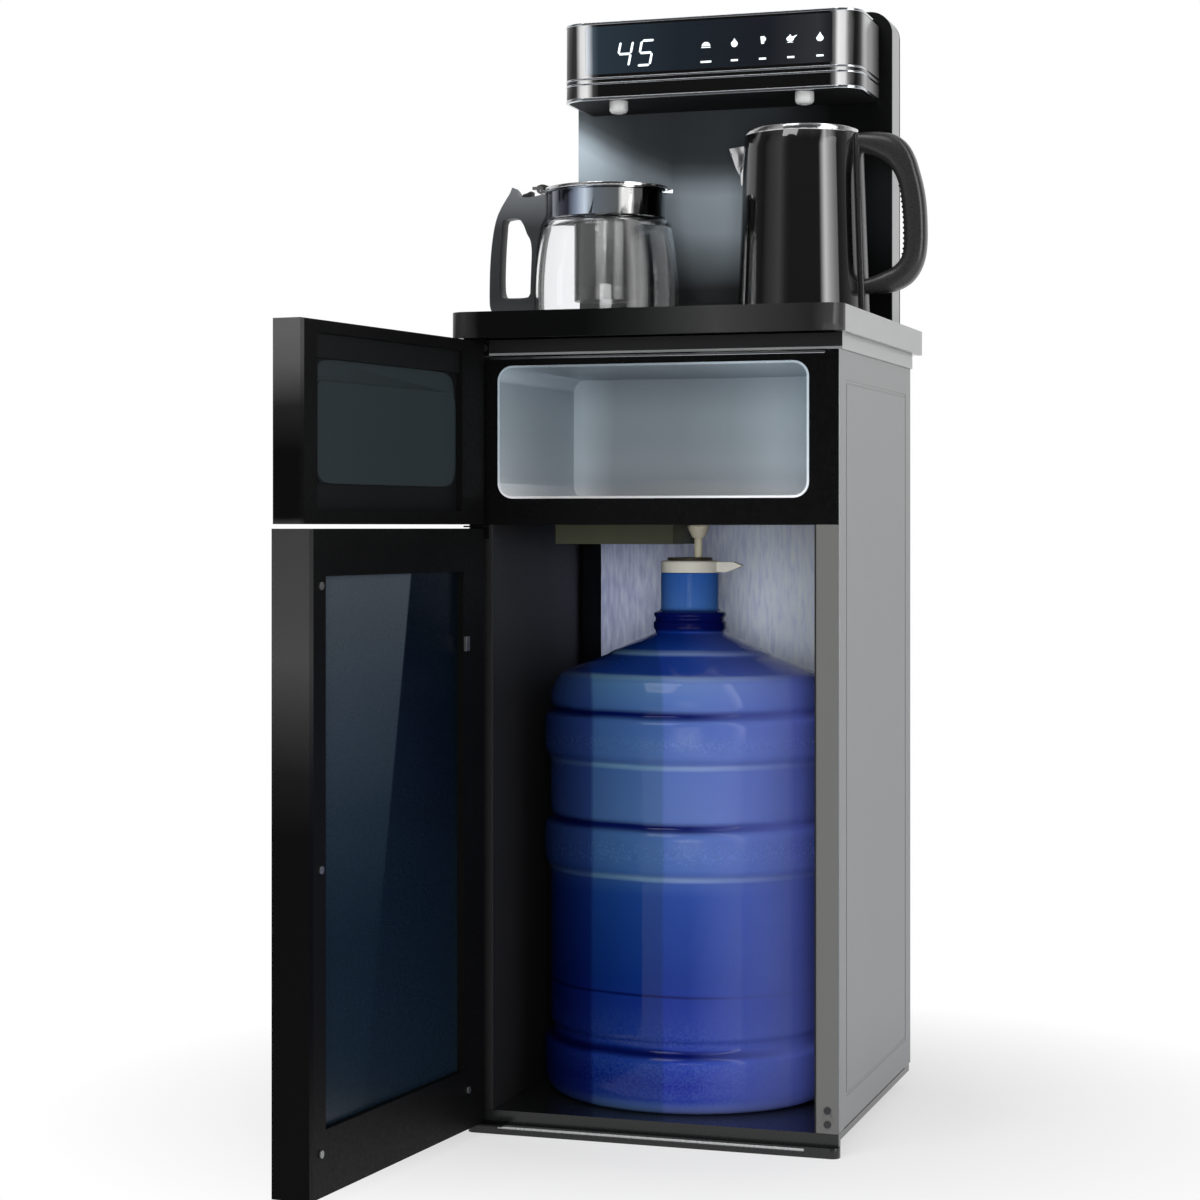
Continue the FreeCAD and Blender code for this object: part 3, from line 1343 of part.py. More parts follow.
def hinge_brackets():
    """Top, middle and bottom brackets with their fixed pins."""
    left, right = bracket_span()
    sheet = BRACKET_SHEET
    top_plate = pinned_plate(WORKTOP_BOTTOM - sheet, WORKTOP_BOTTOM, right)
    top_flange = box(left, right, FRONT - sheet, FRONT, PANEL_TOP, WORKTOP_BOTTOM - sheet)
    top_pin = post(
        HINGE_X, HINGE_Y, UPPER_DOOR_TOP - PIN_LENGTH, WORKTOP_BOTTOM - sheet, PIN_RADIUS
    )
    top = joined([top_plate, top_flange, top_pin])
    for x, z in top_bracket_screws():
        top = top.cut(rod_y(x, z, FRONT - sheet, FRONT, SCREW_RADIUS))

    gap_middle = (UPPER_DOOR_BOTTOM + LOWER_DOOR_TOP) / 2
    plate_low = gap_middle - sheet / 2
    plate_high = gap_middle + sheet / 2
    plate = pinned_plate(plate_low, plate_high, right)
    flange = box(
        left, right, FRONT - sheet, FRONT,
        gap_middle - BRACKET_HEIGHT / 2, gap_middle + BRACKET_HEIGHT / 2,
    )
    pin = post(
        HINGE_X, HINGE_Y, LOWER_DOOR_TOP - PIN_LENGTH, UPPER_DOOR_BOTTOM + PIN_LENGTH, PIN_RADIUS
    )
    middle = joined([plate, flange, pin])
    for x, z in middle_bracket_screws():
        middle = middle.cut(rod_y(x, z, FRONT - sheet, FRONT, SCREW_RADIUS))

    plate = pinned_plate(LIP_HEIGHT, LIP_HEIGHT + sheet, right + BRACKET_WIDTH)
    pin = post(
        HINGE_X, HINGE_Y, LIP_HEIGHT + sheet, LOWER_DOOR_BOTTOM + PIN_LENGTH, PIN_RADIUS
    )
    bottom = joined([plate, pin])
    for x, y in bottom_bracket_screws():
        bottom = bottom.cut(post(x, y, LIP_HEIGHT, LIP_HEIGHT + sheet, SCREW_RADIUS))
    return group([top, middle, bottom])


def cabinet_screws():
    """Screws of the posts, the brackets and the rear cover."""
    screws = []
    for side in SIDES:
        for x, z in post_screws(side):
            screws.append(screw_back(x, FRONT, z))
    for x, z in top_bracket_screws() + middle_bracket_screws():
        head = rod_y(
            x, z, FRONT - BRACKET_SHEET - DOOR_GAP / 8, FRONT - BRACKET_SHEET, SCREW_HEAD_RADIUS
        )
        shank = rod_y(x, z, FRONT - BRACKET_SHEET, FRONT + SCREW_LENGTH, SCREW_RADIUS)
        screws.append(joined([head, shank]))
    for x, z in cover_screws():
        head = rod_y(x, z, BACK, BACK + SCREW_HEAD_HEIGHT, SCREW_HEAD_RADIUS)
        shank = rod_y(x, z, COVER_FACE - POST_WALL, BACK, SCREW_RADIUS)
        screws.append(joined([head, shank]))
    return group(screws)


# ================================================================ bottle and suction line
def bottle_profile(inset):
    """Half section of the bottle's skin, drawn in by inset, from the foot up to the neck."""
    z = BOTTLE_FLOOR
    body = BOTTLE_RADIUS - inset
    bulge = body + BULGE
    groove = body - GROOVE
    corner = BASE_CORNER - inset
    base = z + inset
    bend = corner_middle(bulge - corner, base + corner, 1, -1, corner)
    return [
        (bulge - corner, base),
        ("via", bend),
        (bulge, base + corner),
        (bulge, z + BASE_BULGE_TOP),
        (groove, z + BASE_BULGE_TOP + STEP_RUN),
        (groove, z + BASE_GROOVE_TOP - STEP_RUN),
        (body, z + BASE_GROOVE_TOP),
        (body, z + LOWER_BULGE_BOTTOM - STEP_RUN),
        (bulge, z + LOWER_BULGE_BOTTOM),
        (bulge, z + LOWER_BULGE_TOP),
        (groove, z + LOWER_BULGE_TOP + STEP_RUN),
        (body, z + LOWER_BULGE_TOP + 2 * STEP_RUN),
        (body, z + UPPER_BULGE_BOTTOM - STEP_RUN),
        (bulge, z + UPPER_BULGE_BOTTOM),
        (bulge, z + UPPER_BULGE_TOP - STEP_RUN),
        (groove, z + UPPER_BULGE_TOP),
        (body, z + SHOULDER_BOTTOM),
        (SHOULDER_EDGE_RADIUS - inset, z + SHOULDER_EDGE - inset),
        (SHOULDER_RIDGE_RADIUS, z + SHOULDER_RIDGE - inset),
        (NECK_RADIUS - inset, z + COLLAR_BOTTOM),
    ]


def bottle():
    """Blow-moulded bottle: bulged bands, stepped shoulder, collar ring and spigot neck."""
    z = BOTTLE_FLOOR
    outside = bottle_profile(0)
    inside = bottle_profile(BOTTLE_WALL)
    neck = [
        (COLLAR_RADIUS, z + COLLAR_BOTTOM),
        (COLLAR_RADIUS, z + COLLAR_TOP),
        (NECK_RADIUS, z + COLLAR_TOP),
        (NECK_RADIUS, z + NECK_SHOULDER),
        (NECK_SPIGOT, z + NECK_SHOULDER),
        (NECK_SPIGOT, z + NECK_TOP),
        (NECK_SPIGOT - BOTTLE_WALL, z + NECK_TOP),
        (NECK_SPIGOT - BOTTLE_WALL, z + COLLAR_BOTTOM),
    ]
    loop = [(0, z)] + outside[:-1] + neck + inside[:-1][::-1] + [(0, z + BOTTLE_WALL)]
    return turned(loop, BOTTLE_X, BOTTLE_Y)


def bottle_cap():
    """White cap over the spigot with a pointed tab and a thin disc on top."""
    z = BOTTLE_FLOOR + NECK_TOP
    low = BOTTLE_FLOOR + NECK_SHOULDER + TOUCH_GAP
    outer = NECK_RADIUS
    inner = NECK_SPIGOT + FIT_GAP
    skirt = ring(BOTTLE_X, BOTTLE_Y, low, z, outer, inner)
    top = post(BOTTLE_X, BOTTLE_Y, z, CAP_TOP, outer)
    disc = post(BOTTLE_X, BOTTLE_Y, CAP_TOP, CAP_TOP + CAP_DISC_THICKNESS, CAP_DISC_RADIUS)
    half = CAP_TAB_WIDTH / 2
    tab_face = outline([
        Vector(BOTTLE_X + inner, BOTTLE_Y - half, CAP_TOP - CAP_TAB_THICKNESS),
        Vector(BOTTLE_X + CAP_TAB_REACH, BOTTLE_Y, CAP_TOP - CAP_TAB_THICKNESS),
        Vector(BOTTLE_X + inner, BOTTLE_Y + half, CAP_TOP - CAP_TAB_THICKNESS),
    ])
    tab = Part.Face(tab_face).extrude(Vector(0, 0, CAP_TAB_THICKNESS))
    tab = tab.cut(post(BOTTLE_X, BOTTLE_Y, low, CAP_TOP, outer - FIT_GAP))
    return joined([skirt, top, disc, tab])


def dip_tube():
    """Tube that reaches from the cap to just above the bottle's foot."""
    low = BOTTLE_FLOOR + DIP_TUBE_LIFT
    high = BOTTLE_FLOOR + NECK_TOP
    inner = DIP_TUBE_RADIUS - DIP_TUBE_WALL
    return ring(HOSE_X, BOTTLE_Y, low, high, DIP_TUBE_RADIUS, inner)


def suction_hose():
    """Short translucent hose above the cap."""
    low = CAP_TOP + CAP_DISC_THICKNESS
    return ring(HOSE_X, BOTTLE_Y, low, PLUG_TOP - PLUG_HEIGHT, HOSE_RADIUS, HOSE_RADIUS - HOSE_WALL)


def hose_plug():
    """Pale funnel shaped coupling that meets the socket under the shelf."""
    low = PLUG_TOP - PLUG_HEIGHT
    bore = HOSE_RADIUS - HOSE_WALL
    return turned(
        [
            (bore, low),
            (PLUG_FOOT_RADIUS, low),
            (PLUG_TOP_RADIUS, PLUG_TOP - PLUG_HEIGHT / 4),
            (PLUG_TOP_RADIUS, PLUG_TOP),
            (bore, PLUG_TOP),
        ],
        HOSE_X, BOTTLE_Y,
    )


# ================================================================ kettle
def kettle_skin(inset, z0, z1):
    """Tapered block of the kettle's outside, drawn in by inset."""
    slope = (KETTLE_FOOT_RADIUS - KETTLE_TOP_RADIUS) / KETTLE_HEIGHT
    low = KETTLE_FOOT_RADIUS - inset - slope * (z0 - KETTLE_BOTTOM)
    high = KETTLE_FOOT_RADIUS - inset - slope * (z1 - KETTLE_BOTTOM)
    return Part.makeCone(low, high, z1 - z0, Vector(KETTLE_X, KETTLE_Y, z0), UP)


def kettle_body():
    """Black tapered jug with a thick floor recessed for the contact pin."""
    solid = kettle_skin(0, KETTLE_BOTTOM, KETTLE_RIM)
    hollow = kettle_skin(KETTLE_WALL, KETTLE_BOTTOM + KETTLE_FLOOR, KETTLE_RIM)
    recess = post(
        KETTLE_X, KETTLE_Y, KETTLE_BOTTOM, KETTLE_BOTTOM + COUPLER_RECESS_DEPTH,
        COUPLER_RECESS_RADIUS,
    )
    return solid.cut(hollow).cut(recess).cut(spout_throat())


def spout_block(inset):
    """Beak on the left of the rim: full width at the top, drawn down to a point on the body."""
    top = KETTLE_RIM - SPOUT_TOP_DROP
    low = top - SPOUT_HEIGHT + inset
    root = KETTLE_X - KETTLE_TOP_RADIUS + SPOUT_REACH
    tip = KETTLE_X - KETTLE_TOP_RADIUS - SPOUT_REACH + inset
    half = SPOUT_WIDTH / 2 - inset
    mouth = outline([
        Vector(root, KETTLE_Y - half, top),
        Vector(tip, KETTLE_Y, top),
        Vector(root, KETTLE_Y + half, top),
    ])
    foot_half = half / 4
    foot = outline([
        Vector(root, KETTLE_Y - foot_half, low),
        Vector(root - foot_half, KETTLE_Y, low),
        Vector(root, KETTLE_Y + foot_half, low),
    ])
    return Part.makeLoft([foot, mouth], True, True)


def spout_throat():
    return spout_block(SPOUT_WALL).common(kettle_skin(-KETTLE_WALL, KETTLE_BOTTOM, KETTLE_RIM))


def kettle_rim():
    """Steel rim with the ledge the lid lies on, and the steel pouring beak."""
    top_radius = KETTLE_TOP_RADIUS
    seat = KETTLE_RIM + RIM_STEP
    lower = ring(
        KETTLE_X, KETTLE_Y, KETTLE_RIM, seat, top_radius, top_radius - RIM_WIDTH - RIM_LEDGE
    )
    upper = ring(
        KETTLE_X, KETTLE_Y, seat, KETTLE_RIM + RIM_HEIGHT, top_radius, top_radius - RIM_WIDTH
    )
    beak = spout_block(0).cut(spout_block(SPOUT_WALL))
    beak = beak.cut(kettle_skin(0, KETTLE_BOTTOM, KETTLE_RIM))
    return group([joined([lower, upper]), beak])


def kettle_lid():
    """Flat lid inside the rim with the hole the outlet fills through."""
    seat = KETTLE_RIM + RIM_STEP
    radius = KETTLE_TOP_RADIUS - RIM_WIDTH - TOUCH_GAP
    return ring(KETTLE_X, KETTLE_Y, seat, seat + LID_THICKNESS, radius, LID_HOLE)


def grip_face(root, reach, bottom, top, bend_low, bend_high, slopes):
    """Face in the XZ plane of a bowed loop's outline, from root out to reach and back.

    bend_low and bend_high are the heights of the two bends; slopes are how far the upper arm
    falls and the lower arm rises between root and the bends.
    """
    y = KETTLE_Y - KETTLE_GRIP_WIDTH / 2
    straight = reach - KETTLE_BEND_WIDTH
    upper = top - slopes[0]
    lower = bottom + slopes[1]
    share = 1 / math.sqrt(2)
    high_x = straight + KETTLE_BEND_WIDTH * share
    high_z = upper - bend_high * (1 - share)
    low_z = lower + bend_low * (1 - share)
    return Part.Face(outline([
        Vector(root, y, top),
        Vector(straight, y, upper),
        ("via", Vector(high_x, y, high_z)),
        Vector(reach - GRIP_BOW, y, upper - bend_high),
        ("via", Vector(reach, y, (upper - bend_high + lower + bend_low) / 2)),
        Vector(reach - GRIP_BOW, y, lower + bend_low),
        ("via", Vector(high_x, y, low_z)),
        Vector(straight, y, lower),
        Vector(root, y, bottom),
    ]))


def kettle_handle():
    """Black bowed handle on a spine down the jug, cross ribbed on the inside of the grip."""
    top = KETTLE_BOTTOM + KETTLE_GRIP_TOP
    bottom = KETTLE_BOTTOM + KETTLE_GRIP_BOTTOM
    reach = KETTLE_X + KETTLE_GRIP_REACH
    root = KETTLE_X + KETTLE_TOP_RADIUS - KETTLE_WALL
    thick = KETTLE_GRIP_THICKNESS
    arm = KETTLE_ARM_HEIGHT
    slope = KETTLE_ARM_SLOPE
    outside = grip_face(
        root, reach, bottom, top, KETTLE_BEND_LOWER, KETTLE_BEND_UPPER, (slope / 5, 0)
    )
    inside = grip_face(
        root, reach - thick, bottom + arm, top - arm,
        KETTLE_BEND_LOWER / 2, KETTLE_BEND_UPPER / 2, (slope, slope),
    )
    width = KETTLE_GRIP_WIDTH
    y0 = KETTLE_Y - width / 2
    loop = outside.cut(inside).extrude(Vector(0, width, 0))
    skirt = kettle_skin(-SPINE_THICKNESS, KETTLE_BOTTOM + SPINE_FOOT, KETTLE_RIM)
    spine = skirt.common(box(root - width, reach, y0, y0 + width, KETTLE_BOTTOM, KETTLE_RIM))
    loop = loop.fuse(spine)
    middle = (top + bottom - KETTLE_BEND_UPPER + KETTLE_BEND_LOWER) / 2
    first = middle - GRIP_RIB_PITCH * (GRIP_RIB_COUNT - 1) / 2
    for index in range(GRIP_RIB_COUNT):
        z = first + index * GRIP_RIB_PITCH
        notch = box(
            reach - thick - GRIP_BOW * 2, reach - thick + GRIP_RIB_DEPTH, y0, y0 + width,
            z, z + GRIP_RIB_HEIGHT,
        )
        loop = loop.cut(notch)
    rim = post(KETTLE_X, KETTLE_Y, KETTLE_RIM, KETTLE_RIM + RIM_HEIGHT, KETTLE_TOP_RADIUS)
    return loop.cut(kettle_skin(0, KETTLE_BOTTOM, KETTLE_RIM)).cut(rim)


# ================================================================ teapot
def teapot_profile(inset):
    """Half section of the glass: rounded foot, full belly, rounded shoulder, straight neck."""
    z = TEAPOT_BOTTOM
    foot = TEAPOT_FOOT_RADIUS - inset
    neck = TEAPOT_NECK_RADIUS - inset
    belly = TEAPOT_RADIUS - inset
    corner = FOOT_CORNER
    bend = corner_middle(foot, z + inset + corner, 1, -1, corner)
    neck_bottom = z + TEAPOT_NECK_BOTTOM - inset
    roll = TEAPOT_SHOULDER
    return [
        (foot, z + inset),
        ("via", bend),
        (foot + corner, z + inset + corner),
        ("via", (belly, z + TEAPOT_BELLY)),
        (neck + roll, neck_bottom - roll),
        ("via", corner_middle(neck, neck_bottom - roll, 1, 1, roll)),
        (neck, neck_bottom),
        (neck, z + TEAPOT_NECK_TOP),
    ]


def teapot_glass():
    inside = teapot_profile(TEAPOT_GLASS)
    outside = teapot_profile(0)
    loop = [(0, TEAPOT_BOTTOM)] + outside + inside[::-1]
    loop = loop + [(0, TEAPOT_BOTTOM + TEAPOT_GLASS)]
    return turned(loop, TEAPOT_X, TEAPOT_Y)


def teapot_collar():
    """Steel band round the neck with a narrow flange and a pouring lip."""
    inner = TEAPOT_NECK_RADIUS + FIT_GAP
    outer = inner + COLLAR_WALL
    top = LID_SEAT - COLLAR_FLANGE_HEIGHT
    band = ring(TEAPOT_X, TEAPOT_Y, top - COLLAR_HEIGHT, top, outer, inner)
    flange = ring(
        TEAPOT_X, TEAPOT_Y, top, LID_SEAT, outer + COLLAR_FLANGE, inner - COLLAR_FLANGE
    )
    half = LIP_WIDTH / 2
    tip = TEAPOT_X + outer + LIP_LENGTH
    lip_face = outline([
        Vector(TEAPOT_X + outer - COLLAR_WALL / 2, TEAPOT_Y - half, LID_SEAT - LIP_THICKNESS),
        Vector(tip, TEAPOT_Y, LID_SEAT - LIP_THICKNESS),
        Vector(TEAPOT_X + outer - COLLAR_WALL / 2, TEAPOT_Y + half, LID_SEAT - LIP_THICKNESS),
    ])
    lip = Part.Face(lip_face).extrude(Vector(0, 0, LIP_THICKNESS))
    return joined([band, flange, lip])


def teapot_infuser():
    """Steel tea basket hung by its flange from the neck, with pouring holes in the flange."""
    seat = TEAPOT_BOTTOM + TEAPOT_NECK_TOP
    low = seat - INFUSER_DEPTH
    wall = INFUSER_WALL
    radius = INFUSER_RADIUS
    cup = turned(
        [
            (0, low),
            (radius, low),
            (radius, seat),
            (TEAPOT_NECK_RADIUS, seat),
            (TEAPOT_NECK_RADIUS, seat + INFUSER_FLANGE),
            (radius - wall, seat + INFUSER_FLANGE),
            (radius - wall, low + wall),
            (0, low + wall),
        ],
        TEAPOT_X, TEAPOT_Y,
    )
    ring_radius = (radius + TEAPOT_NECK_RADIUS - TEAPOT_GLASS) / 2
    for index in range(POUR_SLOT_COUNT):
        angle = 2 * math.pi * index / POUR_SLOT_COUNT
        x = TEAPOT_X + ring_radius * math.cos(angle)
        y = TEAPOT_Y + ring_radius * math.sin(angle)
        cup = cup.cut(post(x, y, seat, seat + INFUSER_FLANGE, POUR_SLOT_RADIUS))
    return cup


def teapot_lid():
    """Domed steel lid with a hinge barrel and a thumb tab over the handle."""
    edge = LID_EDGE
    top = LID_SEAT + TEAPOT_LID_THICKNESS
    crown = top + LID_DOME
    sphere = (LID_DOME_RADIUS ** 2 + LID_DOME ** 2) / (2 * LID_DOME)
    half_way = LID_DOME_RADIUS / 2
    shoulder = (half_way, crown - sphere + math.sqrt(sphere ** 2 - half_way ** 2))
    plate = turned(
        [
            (0, LID_SEAT),
            (edge, LID_SEAT),
            (edge, top),
            (LID_DOME_RADIUS, top),
            ("via", shoulder),
            (0, crown),
        ],
        TEAPOT_X, TEAPOT_Y,
    )
    half = LID_BARREL_LENGTH / 2
    barrel = rod_y(LID_AXIS_X, LID_AXIS_Z, TEAPOT_Y - half, TEAPOT_Y + half, LID_BARREL_RADIUS)
    arm = box(
        LID_AXIS_X, TEAPOT_X - edge + LID_TAB_THICKNESS,
        TEAPOT_Y - half, TEAPOT_Y + half, LID_SEAT + FIT_GAP, top,
    )
    tab = box(
        LID_AXIS_X - LID_TAB_REACH, LID_AXIS_X,
        TEAPOT_Y - LID_TAB_WIDTH / 2, TEAPOT_Y + LID_TAB_WIDTH / 2,
        LID_AXIS_Z + LID_BARREL_RADIUS - LID_TAB_THICKNESS, LID_AXIS_Z + LID_BARREL_RADIUS,
    )
    bore = rod_y(
        LID_AXIS_X, LID_AXIS_Z, TEAPOT_Y - half, TEAPOT_Y + half, LID_PIN_RADIUS + RUNNING_GAP
    )
    return joined([plate, barrel, arm, tab]).cut(bore)


def teapot_grip_faces():
    """Outside and opening of the handle in the XZ plane, with the thumb horn at the top."""
    y = TEAPOT_Y - TEAPOT_GRIP_WIDTH / 2
    corner = TEAPOT_GRIP_CORNER
    reach = TEAPOT_GRIP_REACH
    thick = TEAPOT_GRIP_THICKNESS

    def at(across, height):
        return Vector(TEAPOT_X - across, y, TEAPOT_BOTTOM + height)

    lower = corner_middle(reach - corner, TEAPOT_GRIP_BOTTOM + corner, 1, -1, corner)
    outside = outline([
        at(TEAPOT_NECK_RADIUS, TEAPOT_GRIP_TOP),
        at(HORN_REACH - HORN_LENGTH, TEAPOT_GRIP_TOP),
        at(HORN_REACH - HORN_WIDTH, TEAPOT_GRIP_TOP + HORN_RISE),
        at(HORN_REACH, TEAPOT_GRIP_TOP + HORN_RISE),
        at(reach - corner, TEAPOT_GRIP_SHOULDER),
        ("via", at(reach - corner / 6, (TEAPOT_GRIP_SHOULDER + TEAPOT_GRIP_WAIST) / 2)),
        at(reach, TEAPOT_GRIP_WAIST),
        at(reach, TEAPOT_GRIP_BOTTOM + corner),
        ("via", at(lower[0], lower[1])),
        at(reach - corner, TEAPOT_GRIP_BOTTOM),
        at(TEAPOT_NECK_RADIUS, TEAPOT_GRIP_BOTTOM),
    ])
    opening = outline([
        at(reach - thick - corner / 2, TEAPOT_ARM_TOP),
        at(WEB_POINT_REACH + WEB_TAPER, TEAPOT_ARM_TOP),
        at(WEB_POINT_REACH, WEB_POINT_HEIGHT),
        at(WEB_POINT_REACH, TEAPOT_ARM_BOTTOM),
        at(reach - thick - corner / 2, TEAPOT_ARM_BOTTOM),
        at(reach - thick, TEAPOT_ARM_BOTTOM + corner / 2),
        at(reach - thick, TEAPOT_GRIP_WAIST),
        at(reach - thick - corner / 3, TEAPOT_ARM_TOP - corner / 2),
    ])
    return Part.Face(outside), Part.Face(opening)


def teapot_handle():
    """Grey loop handle with a thumb horn, two ears and the pin the lid turns on."""
    outside, opening = teapot_grip_faces()
    loop = outside.cut(opening).extrude(Vector(0, TEAPOT_GRIP_WIDTH, 0))
    top = TEAPOT_BOTTOM + TEAPOT_GRIP_TOP
    ears = []
    start = LID_BARREL_LENGTH / 2 + FIT_GAP
    for side in SIDES:
        low = min(side * start, side * (start + EAR_THICKNESS))
        ears.append(box(
            LID_AXIS_X - LID_BARREL_RADIUS, LID_AXIS_X + LID_BARREL_RADIUS,
            TEAPOT_Y + low, TEAPOT_Y + low + EAR_THICKNESS,
            top - EAR_THICKNESS, LID_AXIS_Z + LID_BARREL_RADIUS,
        ))
    reach = start + EAR_THICKNESS
    pin = rod_y(LID_AXIS_X, LID_AXIS_Z, TEAPOT_Y - reach, TEAPOT_Y + reach, LID_PIN_RADIUS)
    whole = joined([loop] + ears + [pin])
    collar = TEAPOT_NECK_RADIUS + FIT_GAP + COLLAR_WALL
    glass = turned(
        [(0, TEAPOT_BOTTOM)] + teapot_profile(0) + [(0, TEAPOT_BOTTOM + TEAPOT_NECK_TOP)],
        TEAPOT_X, TEAPOT_Y,
    )
    whole = whole.cut(glass)
    collar_top = LID_SEAT - COLLAR_FLANGE_HEIGHT
    return whole.cut(
        post(TEAPOT_X, TEAPOT_Y, collar_top - COLLAR_HEIGHT, collar_top, collar)
    ).cut(post(TEAPOT_X, TEAPOT_Y, collar_top, LID_SEAT, collar + COLLAR_FLANGE))


# ================================================================ the assembly
NODES = {
    "base_tray": base_tray,
    "foot_pads": foot_pads,
    "threshold_strip": threshold_strip,
    "side_panel_left": lambda: side_panel(-1),
    "side_panel_right": lambda: side_panel(1),
    "inner_walls": inner_walls,
    "front_posts": front_posts,
    "rear_posts": rear_posts,
    "back_wall": back_wall,
    "rear_cover": rear_cover,
    "top_panel": top_panel,
    "storage_front_frame": storage_front_frame,
    "storage_trim": storage_trim,
    "storage_liner": storage_liner,
    "divider_panel": divider_panel,
    "cable_duct": cable_duct,
    "pump_housing": pump_housing,
    "pump_motor": pump_motor,
    "pump_rotor": pump_rotor,
    "hose_socket": hose_socket,
    "hinge_brackets": hinge_brackets,
    "cabinet_screws": cabinet_screws,
    "worktop_body": worktop_body,
    "worktop_side_trims": worktop_side_trims,
    "warming_plate": warming_plate,
    "kettle_base": kettle_base,
    "column_front": column_front,
    "column_frame": column_frame,
    "column_back": column_back,
    "head_shell": head_shell,
    "head_base_plate": head_base_plate,
    "head_trim_bands": lambda: group(head_bands()),
    "display_glass": display_glass,
    "display_board": display_board,
    "nozzles": nozzles,
    "water_tubes": water_tubes,
    "power_board": power_board,
    "power_inlet": power_inlet,
    "upper_door_frame": upper_door_frame,
    "upper_door_glass": upper_door_glass,
    "upper_door_liner": upper_door_liner,
    "lower_door_frame": lower_door_frame,
    "lower_door_glass": lower_door_glass,
    "lower_door_liner": lower_door_liner,
    "lower_door_screws": lower_door_screws,
    "door_clip": door_clip,
    "bottle": bottle,
    "bottle_cap": bottle_cap,
    "dip_tube": dip_tube,
    "suction_hose": suction_hose,
    "hose_plug": hose_plug,
    "kettle_body": kettle_body,
    "kettle_rim": kettle_rim,
    "kettle_lid": kettle_lid,
    "kettle_handle": kettle_handle,
    "teapot_glass": teapot_glass,
    "teapot_collar": teapot_collar,
    "teapot_handle": teapot_handle,
    "teapot_lid": teapot_lid,
    "teapot_infuser": teapot_infuser,
}

os.makedirs("parts", exist_ok=True)
for name, build in NODES.items():
    shape = build()
    shape.exportStep("parts/" + name + ".step")
    print(name, len(shape.Solids), "solids", round(shape.Volume / 1000, 2), "cm3", shape.isValid())
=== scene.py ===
"""Looks for the bottom load water cooler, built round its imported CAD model. +Z up, the front faces -Y.

Places in materials, lights and camera are metres; outlines of the finer pieces are millimetres.
"""

import math

import bpy
import bmesh
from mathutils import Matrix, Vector


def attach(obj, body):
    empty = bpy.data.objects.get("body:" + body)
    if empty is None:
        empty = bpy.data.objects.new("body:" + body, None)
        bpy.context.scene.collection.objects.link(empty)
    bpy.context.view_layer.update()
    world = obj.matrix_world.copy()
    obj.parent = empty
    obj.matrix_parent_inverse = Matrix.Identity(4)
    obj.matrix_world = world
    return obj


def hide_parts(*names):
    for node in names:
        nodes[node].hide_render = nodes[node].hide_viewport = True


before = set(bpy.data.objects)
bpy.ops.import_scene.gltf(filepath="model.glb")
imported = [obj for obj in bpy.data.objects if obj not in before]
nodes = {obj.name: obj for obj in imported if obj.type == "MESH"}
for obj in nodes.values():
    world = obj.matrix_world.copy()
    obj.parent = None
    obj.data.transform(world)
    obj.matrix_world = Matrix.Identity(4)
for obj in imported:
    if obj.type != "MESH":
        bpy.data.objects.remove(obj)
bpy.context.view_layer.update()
scene = bpy.context.scene
MM = 0.001


def upright_axis(name):
    """Where a round node's upright axis stands, in millimetres to the nearest tenth."""
    xs, ys, _ = zip(*(v.co for v in nodes[name].data.vertices))
    return tuple(round((min(side) + max(side)) / 2 / MM, 1) for side in (xs, ys))


BOTTLE_AXIS = upright_axis("bottle")
KETTLE_AXIS = upright_axis("kettle_body")
TEAPOT_AXIS = upright_axis("teapot_glass")


# ---------------------------------------------------------------- colours and node trees
def linear(*rgb):
    """A colour written as 0 to 255 display values, turned into scene values."""
    out = []
    for value in rgb:
        v = value / 255
        out.append(v / 12.92 if v <= 0.04045 else ((v + 0.055) / 1.055) ** 2.4)
    return (*out, 1)


def grey(value):
    return linear(value, value, value)


def even(value):
    """A grey written as a scene value, for tones that multiply others and for masks."""
    return (value, value, value, 1)


def scaled(color, by):
    return (*(min(1, c * by) for c in color[:3]), 1)


class Nodes:
    """A few short words for building a node tree."""

    def __init__(self, tree):
        self.tree = tree

    def new(self, kind, **settings):
        node = self.tree.nodes.new(kind)
        for key, value in settings.items():
            setattr(node, key, value)
        return node

    def link(self, a, b):
        self.tree.links.new(a, b)

    def place(self, stretch=(1, 1, 1)):
        spot = self.new("ShaderNodeTexCoord").outputs["Object"]
        if stretch == (1, 1, 1):
            return spot
        mapping = self.new("ShaderNodeMapping")
        mapping.inputs["Scale"].default_value = stretch
        self.link(spot, mapping.inputs["Vector"])
        return mapping.outputs["Vector"]

    def noise(self, scale, detail=3, stretch=(1, 1, 1), rough=0.5):
        node = self.new("ShaderNodeTexNoise")
        node.inputs["Scale"].default_value = scale
        node.inputs["Detail"].default_value = detail
        node.inputs["Roughness"].default_value = rough
        self.link(self.place(stretch), node.inputs["Vector"])
        return node.outputs["Fac"]

    def spread(self, value, low, high, start=0.3, end=0.7):
        node = self.new("ShaderNodeMapRange")
        node.inputs["From Min"].default_value = start
        node.inputs["From Max"].default_value = end
        node.inputs["To Min"].default_value = low
        node.inputs["To Max"].default_value = high
        self.link(value, node.inputs["Value"])
        return node.outputs["Result"]

    def ramp(self, value, stops):
        node = self.new("ShaderNodeValToRGB")
        node.color_ramp.elements[0].position = stops[0][0]
        node.color_ramp.elements[0].color = stops[0][1]
        node.color_ramp.elements[1].position = stops[-1][0]
        node.color_ramp.elements[1].color = stops[-1][1]
        for at, color in stops[1:-1]:
            node.color_ramp.elements.new(at).color = color
        self.link(value, node.inputs["Fac"])
        return node.outputs["Color"]

    def math(self, operation, a, b=None):
        node = self.new("ShaderNodeMath", operation=operation)
        for socket, value in zip(node.inputs, (a, b)):
            if isinstance(value, (int, float)):
                socket.default_value = value
            elif value is not None:
                self.link(value, socket)
        return node.outputs[0]


